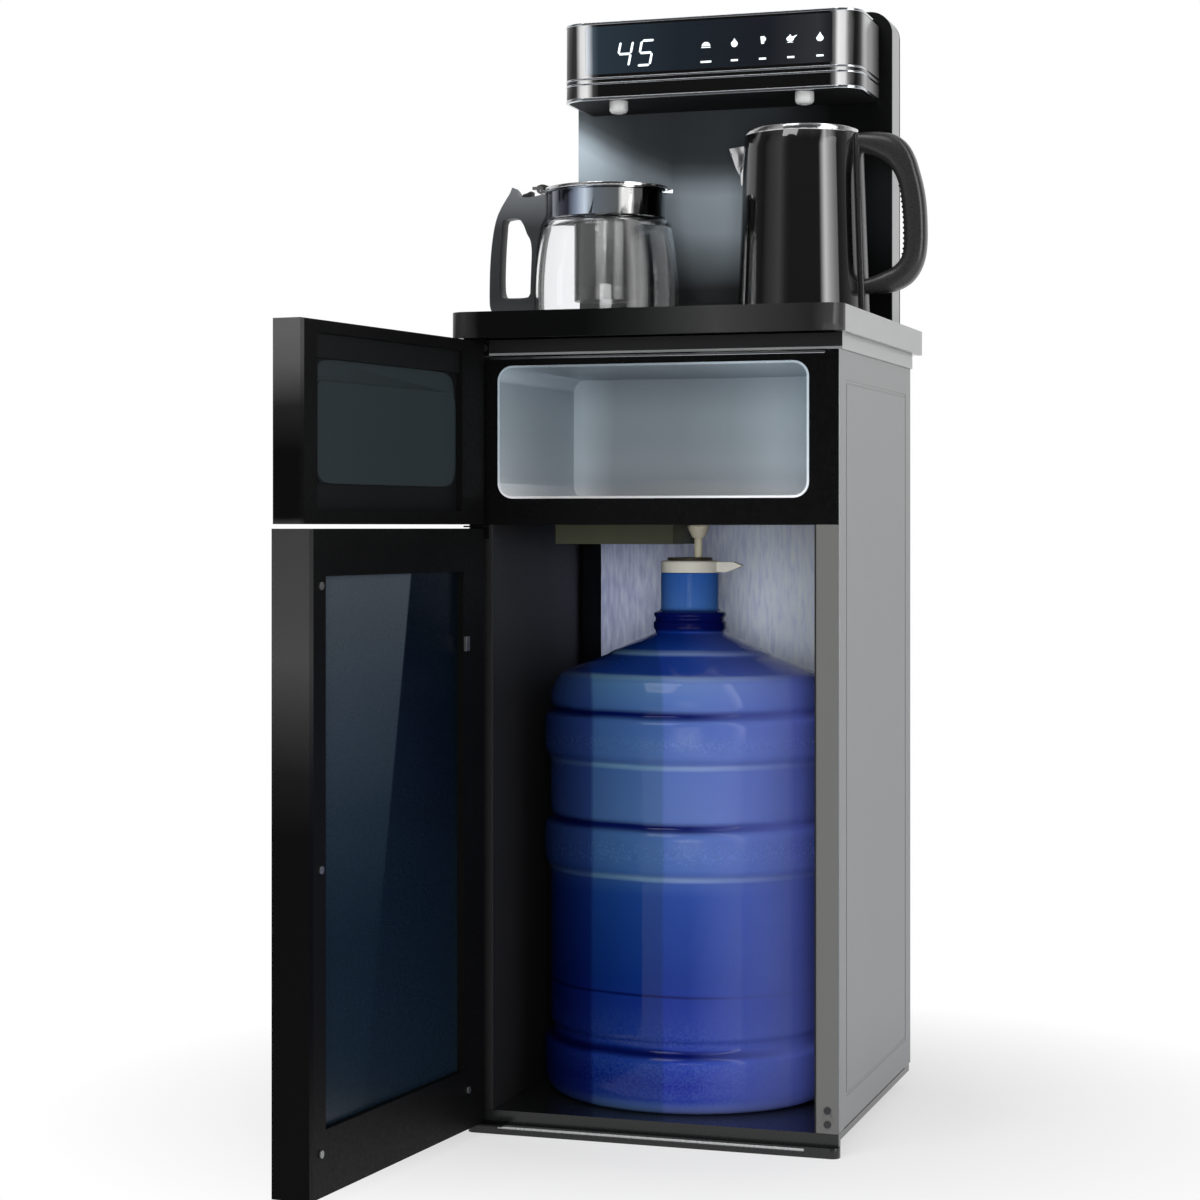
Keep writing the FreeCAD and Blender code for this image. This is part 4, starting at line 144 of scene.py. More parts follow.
def mottled(tree, scale, first, second, stretch=(1, 1, 1)):
    """Colour that drifts between two tones in soft patches."""
    return tree.ramp(tree.noise(scale, stretch=stretch), [(0.3, first), (0.7, second)])


def shader_of(mat):
    return mat.node_tree.nodes["Principled BSDF"]


def base_of(mat):
    return shader_of(mat).inputs["Base Color"]


GRAIN_DEPTH = 0.0003


def surface(name, color=None, rough=0.4, metal=0.0, spec=0.5, vary=0.06, patch=18, grain=700, bump=0.06,
            lay=(1, 1, 1), rough_vary=0.06, **sockets):
    """A moulded, painted or metal surface: a fine grain, uneven gloss and faint patches of tone.

    Without a colour it has no tones of its own, and the caller links its base colour.
    """
    mat = bpy.data.materials.new(name)
    mat.use_nodes = True
    tree = Nodes(mat.node_tree)
    shader = shader_of(mat)
    shader.inputs["Metallic"].default_value = metal
    shader.inputs["Specular IOR Level"].default_value = spec
    for key, value in sockets.items():
        shader.inputs[key.replace("_", " ")].default_value = value
    if color:
        tree.link(mottled(tree, patch, scaled(color, 1 - vary), scaled(color, 1 + vary), lay), base_of(mat))
    fine = tree.noise(grain, detail=2, stretch=lay)
    tree.link(tree.spread(fine, max(0.02, rough - rough_vary), rough + rough_vary), shader.inputs["Roughness"])
    relief = tree.new("ShaderNodeBump")
    relief.inputs["Strength"].default_value = bump
    relief.inputs["Distance"].default_value = GRAIN_DEPTH
    tree.link(fine, relief.inputs["Height"])
    tree.link(relief.outputs["Normal"], shader.inputs["Normal"])
    return mat


def along(tree, value, stops):
    """Colour ramp whose stops are written in the value's own measure."""
    low, high = stops[0][0], stops[-1][0]
    return tree.ramp(tree.spread(value, 0, 1, low, high),
                     [((at - low) / (high - low), color) for at, color in stops])


def part_of(tree, axis, wave=0.0, scale=9, stretch=(1, 1, 1)):
    """Place along one axis of the object, a little uneven where a wave is given."""
    spot = tree.new("ShaderNodeSeparateXYZ")
    tree.link(tree.place(), spot.inputs[0])
    if not wave:
        return spot.outputs[axis]
    return tree.math("ADD", spot.outputs[axis], tree.spread(tree.noise(scale, stretch=stretch), -wave, wave))


def blended(tree, factor, first, second, kind="MIX"):
    mix = tree.new("ShaderNodeMix", data_type="RGBA", blend_type=kind)
    for socket, value in (("Factor", factor), ("A", first), ("B", second)):
        if isinstance(value, (int, float)):
            mix.inputs[socket].default_value = value
        else:
            tree.link(value, mix.inputs[socket])
    return mix.outputs["Result"]


def toned(mat, axis, stops, wave=0.0, scale=9, stretch=(1, 1, 1)):
    """Base colour that changes along one axis of the object; stops are metres and display values."""
    tree = Nodes(mat.node_tree)
    value = part_of(tree, axis, wave, scale, stretch)
    tree.link(along(tree, value, [(at, linear(*rgb)) for at, rgb in stops]), base_of(mat))
    return mat


def multiplied(mat, tree, tones):
    """Base colour multiplied by further tones."""
    before = base_of(mat).links[0].from_socket
    tree.link(blended(tree, 1, before, tones, "MULTIPLY"), base_of(mat))
    return mat


def shaded(mat, axis, levels, wave=0.004):
    """Base colour multiplied by levels that change along one axis of the object."""
    tree = Nodes(mat.node_tree)
    place = part_of(tree, axis, wave)
    return multiplied(mat, tree, along(tree, place, [(at, even(tone)) for at, tone in levels]))


def turn_about(tree, axis):
    """Degrees round an upright axis, from the front towards the right."""
    across = tree.math("SUBTRACT", part_of(tree, "X"), axis[0] * MM)
    depth = tree.math("SUBTRACT", axis[1] * MM, part_of(tree, "Y"))
    return tree.math("MULTIPLY", tree.math("ARCTAN2", across, depth), 180 / math.pi)


def ringed(mat, axis, stops):
    """Base colour multiplied by tones that change round an upright axis, by degrees from the front."""
    tree = Nodes(mat.node_tree)
    turn = turn_about(tree, axis)
    return multiplied(mat, tree, along(tree, turn, [(at, linear(*rgb)) for at, rgb in stops]))


# ---------------------------------------------------------------- looks
# the bottle's tones by height, partly its own blue and partly painted light and shade, then painted shade in
# its grooves and painted highlights on its ridges, by their middle and half their width
BOTTLE_TOP = 0.52
NECK_FOOT = 0.448
BOTTLE_BODY = (
    (0.000, (150, 164, 230)), (0.020, (150, 164, 230)), (0.027, (120, 138, 222)), (0.034, (52, 72, 190)),
    (0.048, (26, 44, 170)), (0.066, (40, 70, 186)), (0.085, (40, 66, 176)), (0.118, (34, 62, 168)),
    (0.140, (26, 64, 162)), (0.215, (44, 84, 178)), (0.235, (84, 118, 196)), (0.272, (100, 130, 202)),
    (0.282, (112, 138, 208)), (0.366, (98, 126, 204)), (0.385, (104, 134, 204)), (0.406, (122, 152, 214)),
    (0.4125, (40, 78, 180)), (0.425, (44, 82, 184)), (0.433, (30, 76, 178)), (0.4475, (20, 62, 164)),
    (0.4495, (10, 18, 92)), (0.466, (10, 22, 100)), (0.4695, (76, 128, 206)), (0.500, (56, 108, 194)))
FROSTED = ((0.0, 0.4), (0.066, 0.4), (0.074, 0), (0.084, 0.4), (0.118, 0), (0.236, 0), (0.250, 1), (0.268, 0.4),
           (0.277, 0), (0.336, 0), (0.342, 0.4), (0.352, 1), (0.358, 0.4), (0.376, 0), (BOTTLE_TOP, 0))
GROOVES = ((0.0745, 0.0034), (0.1260, 0.0009), (0.2765, 0.0034), (0.3765, 0.0032))
RIDGES = ((0.2310, 0.0022), (0.3305, 0.0020), (0.4095, 0.0018), (0.4293, 0.0016))
# painted light and shade across the bottle, standing for what it shows of the space behind it: darker at its
# left edge and paler towards its right, by how far to the right of the middle, seen from the front right
PAINTED_LIGHT_ACROSS = (
    (-0.146, (0.06, 0.09, 0.14, 1)), (-0.106, (0.14, 0.20, 0.30, 1)), (-0.103, (0.34, 0.52, 0.50, 1)),
    (-0.044, (0.50, 0.66, 0.64, 1)), (-0.041, (0.74, 0.80, 0.88, 1)), (0.020, (0.95, 0.96, 0.97, 1)),
    (0.072, even(1)), (0.078, (0.80, 0.80, 0.95, 1)), (0.129, (0.8, 0.8, 0.95, 1)))
SIDEWAYS = (0.945, 0.327)


def lines_at(tree, value, marks):
    """1 on each line and 0 between them; a mark is the middle and half the width of its line."""
    stops = [(0.0, even(0))]
    for middle, half in marks:
        stops += [(middle + far * half, even(tone)) for far, tone in ((-1.5, 0), (-0.5, 1), (0.5, 1), (1.5, 0))]
    return along(tree, value, stops + [(BOTTLE_TOP, even(0))])


def bottle_look():
    """Translucent blue with frosted bands, and painted light and shade: painted highlights on the ridges,
    painted shade in the grooves, and upright zones across it that stand for what lies behind.
    """
    mat = surface("bottle_blue", spec=0.10, grain=90, bump=0.02, Transmission_Weight=0.30, IOR=1.42)
    tree = Nodes(mat.node_tree)
    up = part_of(tree, "Z", 0.0010, 7, (1, 1, 0.4))
    color = along(tree, up, [(z, linear(*rgb)) for z, rgb in BOTTLE_BODY])
    bands = along(tree, up, [(z, even(tone)) for z, tone in FROSTED])
    speckle = tree.spread(tree.noise(420, detail=4, rough=0.7), 0.0, 1.0, 0.4, 0.62)
    frost = tree.math("MULTIPLY", bands, speckle)
    pale = mottled(tree, 30, linear(112, 148, 214), linear(132, 166, 226))
    color = blended(tree, tree.math("MULTIPLY", frost, 0.5), color, pale)
    # painted shade: dark navy in the grooves
    deep = mottled(tree, 20, linear(8, 22, 104), linear(12, 28, 116))
    color = blended(tree, lines_at(tree, up, GROOVES), color, deep)
    # painted highlights: pale lines along the ridges
    edge = mottled(tree, 20, linear(158, 184, 230), linear(170, 194, 236))
    color = blended(tree, tree.math("MULTIPLY", lines_at(tree, up, RIDGES), 0.85), color, edge)
    wave = tree.spread(tree.noise(11), -0.0006, 0.0006)
    across = tree.math("ADD", tree.math("MULTIPLY", part_of(tree, "X"), SIDEWAYS[0]),
                       tree.math("ADD", tree.math("MULTIPLY", part_of(tree, "Y"), SIDEWAYS[1]), wave))
    # painted light: the bottle paler and lilac towards its right, below the neck
    lilac = mottled(tree, 15, linear(122, 138, 232), linear(130, 146, 240))
    rightwards = tree.spread(across, 0, 0.8, -0.02, 0.08)
    below_neck = tree.math("LESS_THAN", up, NECK_FOOT)
    color = blended(tree, tree.math("MULTIPLY", rightwards, below_neck), color, lilac)
    plain = mottled(tree, 15, even(0.96), even(1))
    behind = blended(tree, tree.math("GREATER_THAN", up, NECK_FOOT), along(tree, across, PAINTED_LIGHT_ACROSS), plain)
    tree.link(blended(tree, 1, color, behind, "MULTIPLY"), base_of(mat))
    tree.link(tree.spread(frost, 0.07, 0.42, 0, 1), shader_of(mat).inputs["Roughness"])
    return mat


# the window field of the upper door: axis, middle, half its width, and how straight that pair of sides is
WINDOW = (("Y", -0.352, 0.1255, 14), ("Z", 0.6315, 0.0505, 6))


def window_look():
    """Black inner face of the upper door with a paler round cornered window field."""
    mat = surface("upper_inner", rough=0.5, spec=0.12, grain=900, bump=0.03)
    tree = Nodes(mat.node_tree)
    reach = []
    for axis, middle, half, power in WINDOW:
        away = tree.math("ABSOLUTE", tree.math("SUBTRACT", part_of(tree, axis), middle))
        reach.append(tree.math("POWER", tree.math("DIVIDE", away, half), power))
    outside = tree.spread(tree.math("ADD", *reach), 0.1, 0.8, 0.97, 1.0)
    uneven = tree.spread(tree.noise(6), 0, 0.05)
    tree.link(tree.ramp(tree.math("ADD", outside, uneven),
                        [(0.1, linear(44, 52, 55)), (0.2, linear(40, 47, 50)), (0.6, linear(15, 16, 17))]),
              base_of(mat))
    return mat


# the edge of the painted reflection on the lower door's pane: its place at the pane's top and its lean for each
# metre down
PANE_LINE = -0.316
PANE_TOP = 0.503
PANE_LEAN = 0.205


def pane_look():
    """Dark blue inner face of the lower door with a painted reflection: paler before a slanting line and
    towards its top.
    """
    mat = surface("lower_inner", rough=0.30, spec=0.15, grain=900, bump=0.04)
    tree = Nodes(mat.node_tree)
    slant = tree.math("MULTIPLY", tree.math("SUBTRACT", PANE_TOP, part_of(tree, "Z")), PANE_LEAN)
    past = tree.math("ADD", tree.math("SUBTRACT", part_of(tree, "Y"), PANE_LINE), slant)
    up = part_of(tree, "Z", 0.01, 6)
    pale = along(tree, up, [(0.06, linear(22, 36, 46)), (0.21, linear(20, 33, 43)), (0.31, linear(32, 45, 54)),
                            (0.41, linear(54, 64, 72)), (0.51, linear(76, 84, 92))])
    deep = along(tree, up, [(0.06, linear(20, 33, 43)), (0.21, linear(14, 26, 36)), (0.33, linear(8, 16, 26)),
                            (0.51, linear(8, 15, 21))])
    tree.link(blended(tree, tree.spread(past, 0, 1, -0.0015, 0.0015), pale, deep), base_of(mat))
    return mat


def greys(tree, axis, wave, stops):
    """Greys in display values along one axis of the object."""
    return along(tree, part_of(tree, axis, wave), [(at, grey(tone)) for at, tone in stops])


def door_frame_look():
    """Black door frame with painted reflections: its outer end paler towards the top of each door."""
    mat = surface("door_frame_black", rough=0.45, spec=0.06, grain=260, bump=0.02)
    tree = Nodes(mat.node_tree)
    ends = greys(tree, "Z", 0.002, (
        (0.0, 4), (0.300, 4), (0.350, 20), (0.390, 42), (0.440, 62), (0.547, 54), (0.5525, 4), (0.605, 4),
        (0.640, 28), (0.675, 76), (0.700, 84)))
    outer = tree.spread(part_of(tree, "Y"), 0, 1, -0.5045, -0.5035)
    tree.link(blended(tree, outer, ends, mottled(tree, 18, grey(11), grey(14))), base_of(mat))
    return mat


def head_look():
    """Dispensing head: black, with painted highlights: a bright line at each end of its front and along its
    sides.
    """
    mat = surface("head_gloss", rough=0.12, spec=0.25, grain=260, bump=0.006, rough_vary=0.02)
    tree = Nodes(mat.node_tree)
    front = greys(tree, "X", 0.0006, (
        (-0.146, 90), (-0.138, 48), (-0.131, 50), (-0.1265, 214), (-0.120, 226), (-0.114, 60), (-0.108, 14),
        (0.119, 14), (0.1235, 110), (0.1262, 226), (0.1325, 214), (0.1362, 20), (0.1425, 24), (0.146, 70)))
    side = greys(tree, "Y", 0.0015, (
        (0.032, 80), (0.050, 110), (0.068, 214), (0.088, 222), (0.112, 150), (0.132, 70)))
    past = tree.spread(tree.math("ABSOLUTE", part_of(tree, "X")), 0, 1, 0.1448, 0.1456)
    tree.link(blended(tree, past, front, side), base_of(mat))
    return mat


# the head's shade on the column: its edge at the middle, its fall for each metre to the right, its lowest place
SHADE_EDGE = 0.8737
SHADE_FALL = 0.53
SHADE_LOWEST = 0.906
COLUMN_TINT = (0.93, 1, 1.05)


def column_look():
    """Column front: bluish grey with painted light and shade: a painted shadow under the head, a pale painted
    reflection below it, paler at its left end, and painted shade at its foot and towards the right.
    """
    mat = surface("column_plate", rough=0.34, spec=0.25, grain=700, bump=0.03)
    tree = Nodes(mat.node_tree)
    edge = tree.math("SUBTRACT", SHADE_EDGE, tree.math("MULTIPLY", part_of(tree, "X"), SHADE_FALL))
    below = tree.math("SUBTRACT", tree.math("MAXIMUM", edge, SHADE_LOWEST), part_of(tree, "Z", 0.004))
    tones = along(tree, below, [(at, linear(*(tone * tint for tint in COLUMN_TINT))) for at, tone in (
        (-0.010, 80), (0.000, 88), (0.010, 128), (0.020, 186), (0.032, 214), (0.070, 196), (0.090, 150),
        (0.125, 40), (0.175, 26))])
    tree.link(tones, base_of(mat))
    return shaded(mat, "X", ((-0.158, 1.0), (-0.132, 0.92), (-0.100, 0.52), (-0.060, 0.46), (-0.010, 0.54),
                             (0.040, 0.45), (0.100, 0.02), (0.158, 0.015)))


PANEL_FACE = -0.1674
PANEL_EDGE = 0.7026


def panel_look():
    """Top panel: painted like the sides, its front face black above a thin pale edge."""
    mat = surface("top_panel_paint", rough=0.34, grain=1200, bump=0.04)
    tree = Nodes(mat.node_tree)
    front = tree.math("LESS_THAN", part_of(tree, "Y"), PANEL_FACE)
    above = tree.math("GREATER_THAN", part_of(tree, "Z"), PANEL_EDGE)
    dark = tree.math("MAXIMUM", tree.math("MULTIPLY", front, above), tree.math("MULTIPLY", front, 0.45))
    tone = tree.math("ADD", dark, tree.spread(tree.noise(14), -0.04, 0.04))
    tree.link(tree.ramp(tone, [(0.05, linear(192, 193, 194)), (0.45, linear(128, 130, 131)),
                               (0.9, linear(22, 22, 23))]), base_of(mat))
    return mat


# the basket's punched holes: how closely they stand round it and up it, and the heights they stay between
HOLES_ROUND = 110
HOLES_UP = 3400
HOLES_LOW, HOLES_HIGH = 0.776, 0.858


def basket_look():
    """Steel tea basket: rows of fine punched holes between two plain bands."""
    mat = surface("basket_steel", rough=0.24, metal=0.55, grain=900)
    tree = Nodes(mat.node_tree)
    up = part_of(tree, "Z")
    across = tree.math("SUBTRACT", part_of(tree, "X"), TEAPOT_AXIS[0] * MM)
    depth = tree.math("SUBTRACT", part_of(tree, "Y"), TEAPOT_AXIS[1] * MM)
    turn = tree.math("SINE", tree.math("MULTIPLY", tree.math("ARCTAN2", depth, across), HOLES_ROUND))
    rows = tree.math("SINE", tree.math("MULTIPLY", up, HOLES_UP))
    holes = tree.math("GREATER_THAN", tree.math("MULTIPLY", turn, rows), 0.25)
    between = tree.math("MULTIPLY", tree.math("GREATER_THAN", up, HOLES_LOW),
                        tree.math("LESS_THAN", up, HOLES_HIGH))
    tree.link(tree.ramp(tree.math("MULTIPLY", holes, between),
                        [(0.4, linear(206, 206, 205)), (0.6, linear(74, 75, 76))]), base_of(mat))
    return mat


UPRIGHT_GRAIN = (1, 1, 0.16)
M = {
    # cabinet and top
    # painted light and shade: the side panels and rear cover paler towards the top, darker towards the bottom
    "side": toned(surface("painted_side", rough=0.42, grain=1400, bump=0.10), "Z",
                  [(0.02, (138, 141, 144)), (0.30, (142, 145, 147)), (0.55, (150, 152, 154)),
                   (0.74, (160, 162, 163))], 0.01),
    "trim": surface("painted_trim", linear(196, 197, 198), 0.35, vary=0.02, grain=1200, bump=0.05),
    "panel": panel_look(),
    "lining": surface("dark_lining", linear(30, 30, 31), 0.5, spec=0.3, vary=0.05, grain=900),
    "duct": surface("duct_black", grey(6), 0.8, spec=0.03, vary=0.05, grain=900),
    # painted shade: the left front post much darker than the right one, a painted shadow of the open doors
    "post": toned(surface("painted_post", rough=0.42, grain=900), "X",
                  [(-0.17, (22, 22, 22)), (-0.02, (26, 26, 26)), (0.02, (98, 99, 97)), (0.17, (101, 102, 100))],
                  0.004),
    "zinc": surface("zinc_plate", linear(150, 151, 152), 0.34, metal=0.9, vary=0.10, patch=60, grain=500),
    "base": surface("base_moulding", linear(26, 27, 27), 0.24, vary=0.10, grain=1100, bump=0.05),
    "screws": surface("dark_screws", linear(52, 52, 54), 0.35, metal=0.5, vary=0.1, patch=90, grain=700),
    "strip": toned(surface("strip_metal", rough=0.3, metal=0.4, grain=400), "Z",
                   [(0.0030, (40, 40, 40)), (0.0052, (52, 52, 52)), (0.0058, (178, 180, 180)),
                    (0.0075, (190, 192, 192))]),
    "rubber": surface("foot_rubber", grey(38), 0.75, spec=0.3, vary=0.12, grain=800, bump=0.2),
    "gloss": surface("gloss_black", linear(13, 14, 15), 0.07, spec=0.3, grain=260, bump=0.006,
                     rough_vary=0.015),
    # painted reflections and highlights on the glossy black worktop: paler bands at its left end, right of the
    # middle and at its right end
    "top": toned(surface("worktop_black", rough=0.08, spec=0.2, grain=260, bump=0.006, rough_vary=0.015), "X",
                 [(-0.1786, (34, 34, 34)), (-0.171, (46, 46, 46)), (-0.161, (40, 40, 40)), (-0.150, (5, 5, 5)),
                  (-0.050, (5, 6, 6)), (0.000, (26, 28, 28)), (0.070, (56, 57, 56)), (0.155, (32, 32, 32)),
                  (0.1786, (66, 66, 67))], 0.003),
    "frame": surface("frame_black", linear(10, 10, 11), 0.22, spec=0.15, grain=260, bump=0.02),
    # tones by height, palest at the bottom rim and darker upwards; then painted shade, darkest left of the
    # middle and palest towards the right
    "tub": shaded(toned(surface("tub_moulding", rough=0.33, grain=800, bump=0.05), "Z",
                        [(0.571, (250, 251, 252)), (0.5755, (246, 249, 252)), (0.590, (212, 222, 230)),
                         (0.63, (194, 207, 216)), (0.692, (178, 192, 203))], 0.004), "X",
                  [(-0.143, 0.80), (-0.132, 0.80), (-0.100, 0.50), (-0.030, 0.55), (0.020, 0.66), (0.080, 0.98),
                   (0.143, 1.0)]),
    # painted light and shade: the back wall darker towards the left and paler towards the right
    "back": toned(surface("back_sheet", rough=0.38, spec=0.3, grain=420, lay=UPRIGHT_GRAIN), "X",
                  [(-0.20, (176, 184, 222)), (-0.08, (206, 214, 244)), (0.04, (228, 238, 255)),
                   (0.20, (244, 250, 255))], 0.09, 300, UPRIGHT_GRAIN),
    "olive": surface("olive_cover", linear(64, 66, 50), 0.55, vary=0.08, grain=1000, bump=0.1),
    "chrome": surface("bright_trim", linear(196, 199, 204), 0.10, metal=1.0, vary=0.02, grain=200, bump=0.01),
    "glass_black": surface("black_glass", linear(26, 34, 42), 0.05, spec=0.45, vary=0.05, grain=150,
                           bump=0.004),
    # column, head and pump
    "column": column_look(),
    "head": head_look(),
    "under": surface("under_plate", linear(24, 25, 26), 0.6, spec=0.12, grain=900, bump=0.05),
    # painted highlight: a bright band at the left end of the display glass, paler again near its right end
    "display": toned(surface("display_black", rough=0.05, spec=0.3, grain=150, bump=0.004), "X",
                     [(-0.1215, (226, 231, 238)), (-0.1185, (196, 202, 210)), (-0.1135, (66, 78, 88)),
                      (-0.108, (38, 50, 60)), (-0.030, (27, 34, 42)), (0.060, (24, 28, 34)),
                      (0.108, (46, 47, 51)), (0.1215, (24, 25, 28))], 0.0006),
    "lit": surface("lit_mark", linear(235, 242, 246), 0.3, vary=0.03, patch=200,
                   Emission_Color=linear(226, 238, 244), Emission_Strength=0.8),
    "board": surface("circuit_board", linear(40, 110, 70), 0.4, vary=0.12, patch=300, grain=900, bump=0.15),
    "white": surface("white_moulding", linear(206, 207, 206), 0.28, vary=0.02, bump=0.04),
    "beige": surface("beige_moulding", linear(206, 200, 178), 0.4, vary=0.05, bump=0.05),
    "tube": surface("clear_tube", linear(225, 228, 230), 0.15, vary=0.02, grain=400, bump=0.02,
                    Transmission_Weight=0.75),
    # doors and bottle
    "door_frame": door_frame_look(),
    "door_glass": surface("door_glass", linear(16, 22, 26), 0.06, spec=0.4, vary=0.05, grain=150, bump=0.004),
    "window": window_look(),
    "door_inner": pane_look(),
    "bottle": bottle_look(),
    "cap": toned(surface("cap_ivory", rough=0.38, bump=0.05), "Z",
                 [(0.5144, (216, 214, 202)), (0.5146, (58, 54, 46))]),
    # kettle and teapot
    "kettle": surface("kettle_black", linear(15, 14, 14), 0.06, spec=1.0, vary=0.05, grain=300, bump=0.004,
                      rough_vary=0.01),
    "grip": surface("grip_black", grey(38), 0.30, grain=900, bump=0.16),
    "grip_grey": toned(surface("grip_grey", rough=0.42, spec=0.3, grain=900, bump=0.10), "Z",
                       [(0.750, (62, 64, 66)), (0.770, (44, 46, 47)), (0.835, (50, 52, 54)),
                        (0.860, (98, 101, 104)), (0.878, (112, 115, 118))], 0.003),
    "glass": surface("clear_glass", linear(252, 253, 254), 0.02, vary=0.01, rough_vary=0.01, grain=90,
                     bump=0.002, Transmission_Weight=1.0, IOR=1.45),
    "steel": surface("brushed_steel", linear(208, 208, 210), 0.13, metal=1.0, vary=0.05, patch=120,
                     grain=900, lay=(1, 1, 0.04)),
    # painted reflections round the collar: dark and bright upright bands by degrees from the front
    "collar": ringed(surface("collar_steel", linear(235, 235, 236), 0.10, metal=1.0, vary=0.03, grain=900,
                             bump=0.01), TEAPOT_AXIS,
                     [(-180, (200, 200, 200)), (-60, (190, 196, 204)), (-36, (70, 72, 82)), (-24, (44, 44, 54)),
                      (-14, (140, 152, 172)), (-5, (214, 226, 240)), (4, (104, 112, 120)), (27, (96, 98, 98)),
                      (31, (252, 252, 250)), (39, (250, 250, 248)), (43, (66, 66, 66)), (74, (50, 52, 52)),
                      (86, (140, 146, 148)), (120, (200, 200, 200)), (180, (200, 200, 200))]),
    # painted reflections and shade round the basket: bright upright bands on darker steel, by degrees from the
    # front
    "basket": ringed(basket_look(), TEAPOT_AXIS,
                     [(-180, (170, 170, 170)), (-60, (88, 90, 90)), (-5, (100, 102, 100)), (0, (250, 250, 248)),
                      (9, (246, 246, 244)), (16, (130, 132, 130)), (27, (130, 132, 130)), (31, (250, 250, 248)),
                      (38, (236, 236, 234)), (48, (90, 92, 92)), (90, (80, 82, 82)), (120, (170, 170, 170)),
                      (180, (170, 170, 170))]),
}
LOOKS = {
    "side": "side_panel_left side_panel_right rear_cover",
    "trim": "worktop_side_trims column_frame",
    "panel": "top_panel",
    "lining": "inner_walls divider_panel column_back",
    "duct": "cable_duct",
    "post": "front_posts",
    "zinc": "rear_posts lower_door_screws door_clip pump_motor",
    "base": "base_tray",
    "screws": "cabinet_screws",
    "strip": "threshold_strip",
    "rubber": "foot_pads power_inlet",
    "gloss": "kettle_base",
    "top": "worktop_body",
    "frame": "storage_front_frame hinge_brackets",
    "tub": "storage_liner",
    "back": "back_wall",
    "olive": "pump_housing",
    "chrome": "storage_trim head_trim_bands",
    "glass_black": "warming_plate",
    "column": "column_front",
    "head": "head_shell",
    "under": "head_base_plate",
    "display": "display_glass",
    "board": "display_board power_board",
    "white": "pump_rotor nozzles",
    "beige": "hose_socket suction_hose hose_plug",
    "tube": "water_tubes dip_tube",
    "door_frame": "upper_door_frame lower_door_frame",
    "door_glass": "upper_door_glass lower_door_glass",
    "window": "upper_door_liner",
    "door_inner": "lower_door_liner",
    "bottle": "bottle",
    "cap": "bottle_cap",
    "kettle": "kettle_body",
    "grip": "kettle_handle",
    "grip_grey": "teapot_handle",
    "glass": "teapot_glass",
    "steel": "kettle_rim kettle_lid teapot_lid",
    "collar": "teapot_collar",
    "basket": "teapot_infuser",
}
for look, names in LOOKS.items():
    for name in names.split():
        mesh = nodes[name].data
        mesh.materials.clear()
        mesh.materials.append(M[look])

SOFT_EDGES = {
    "worktop_body": 0.003, "head_shell": 0.002, "column_frame": 0.0015, "kettle_handle": 0.003,
    "teapot_handle": 0.0025, "upper_door_frame": 0.001, "lower_door_frame": 0.001, "base_tray": 0.001,
}
FINE_EDGE = 0.0004
# large flat sheets with cut openings, which a bevel would shade unevenly
SHARP = ("rear_cover", "column_back")
for name, obj in nodes.items():
    if name in SHARP:
        continue
    weld = obj.modifiers.new("weld", "WELD")
    weld.merge_threshold = 0.00001
    bevel = obj.modifiers.new("soft_edges", "BEVEL")
    bevel.width = SOFT_EDGES.get(name, FINE_EDGE)
    bevel.segments = 3 if name in SOFT_EDGES else 2
    bevel.limit_method = "ANGLE"
    bevel.angle_limit = math.radians(38)
    bevel.harden_normals = True


# ---------------------------------------------------------------- finer pieces over the solids
SAME_PLACE = 1e-6


def piece(name, mesh, look, body, replaced=(), crease=35):
    """A finished mesh as a smooth shaded piece on its body."""
    obj = bpy.data.objects.new(name, mesh)
    scene.collection.objects.link(obj)
    mesh.materials.append(M[look])
    for face in mesh.polygons:
        face.use_smooth = True
    mesh.set_sharp_from_angle(angle=math.radians(crease))
    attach(obj, body)
    if replaced:
        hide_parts(*replaced)
    return obj


def skin(rings, looped=False):
    """Mesh of rings of points in millimetres, each joined to the next; looped joins the last to the first."""
    shape = bmesh.new()
    rows = [[shape.verts.new([c * MM for c in p]) for p in ring] for ring in rings]
    pairs = list(zip(rows, rows[1:]))
    if looped:
        pairs.append((rows[-1], rows[0]))
    for low, high in pairs:
        for j in range(len(low)):
            k = (j + 1) % len(low)
            shape.faces.new((low[j], low[k], high[k], high[j]))
    if not looped:
        shape.faces.new(rows[0])
        shape.faces.new(rows[-1])
    bmesh.ops.remove_doubles(shape, verts=shape.verts, dist=SAME_PLACE)
    bmesh.ops.dissolve_degenerate(shape, edges=shape.edges, dist=1e-7)
    bmesh.ops.recalc_face_normals(shape, faces=shape.faces)
    mesh = bpy.data.meshes.new("skin")
    shape.to_mesh(mesh)
    shape.free()
    return mesh


def eased(points, steps=5):
    """Half section with its corners rounded: each point is across, up and how far the rounding reaches."""
    out = []
    for i, (x, z, reach) in enumerate(points):
        if i in (0, len(points) - 1) or reach == 0:
            out.append((x, z))
            continue
        here = Vector((x, z))
        sides = []
        for other in (points[i - 1], points[i + 1]):
            way = Vector(other[:2]) - here
            sides.append(here + way * min(0.5, reach / way.length))
        for step in range(steps + 1):
            t = step / steps
            p = sides[0] * (1 - t) ** 2 + here * 2 * t * (1 - t) + sides[1] * t ** 2
            out.append((p.x, p.y))
    return out


def turned(section, x, y, count=144):
    """Mesh of a closed half section turned about the upright axis through x, y."""
    hair = 0.0005
    rings = []
    for r, z in section:
        r = max(r, hair)
        rings.append([
            (x + r * math.cos(2 * math.pi * j / count), y + r * math.sin(2 * math.pi * j / count), z)
            for j in range(count)])
    return skin(rings, looped=True)


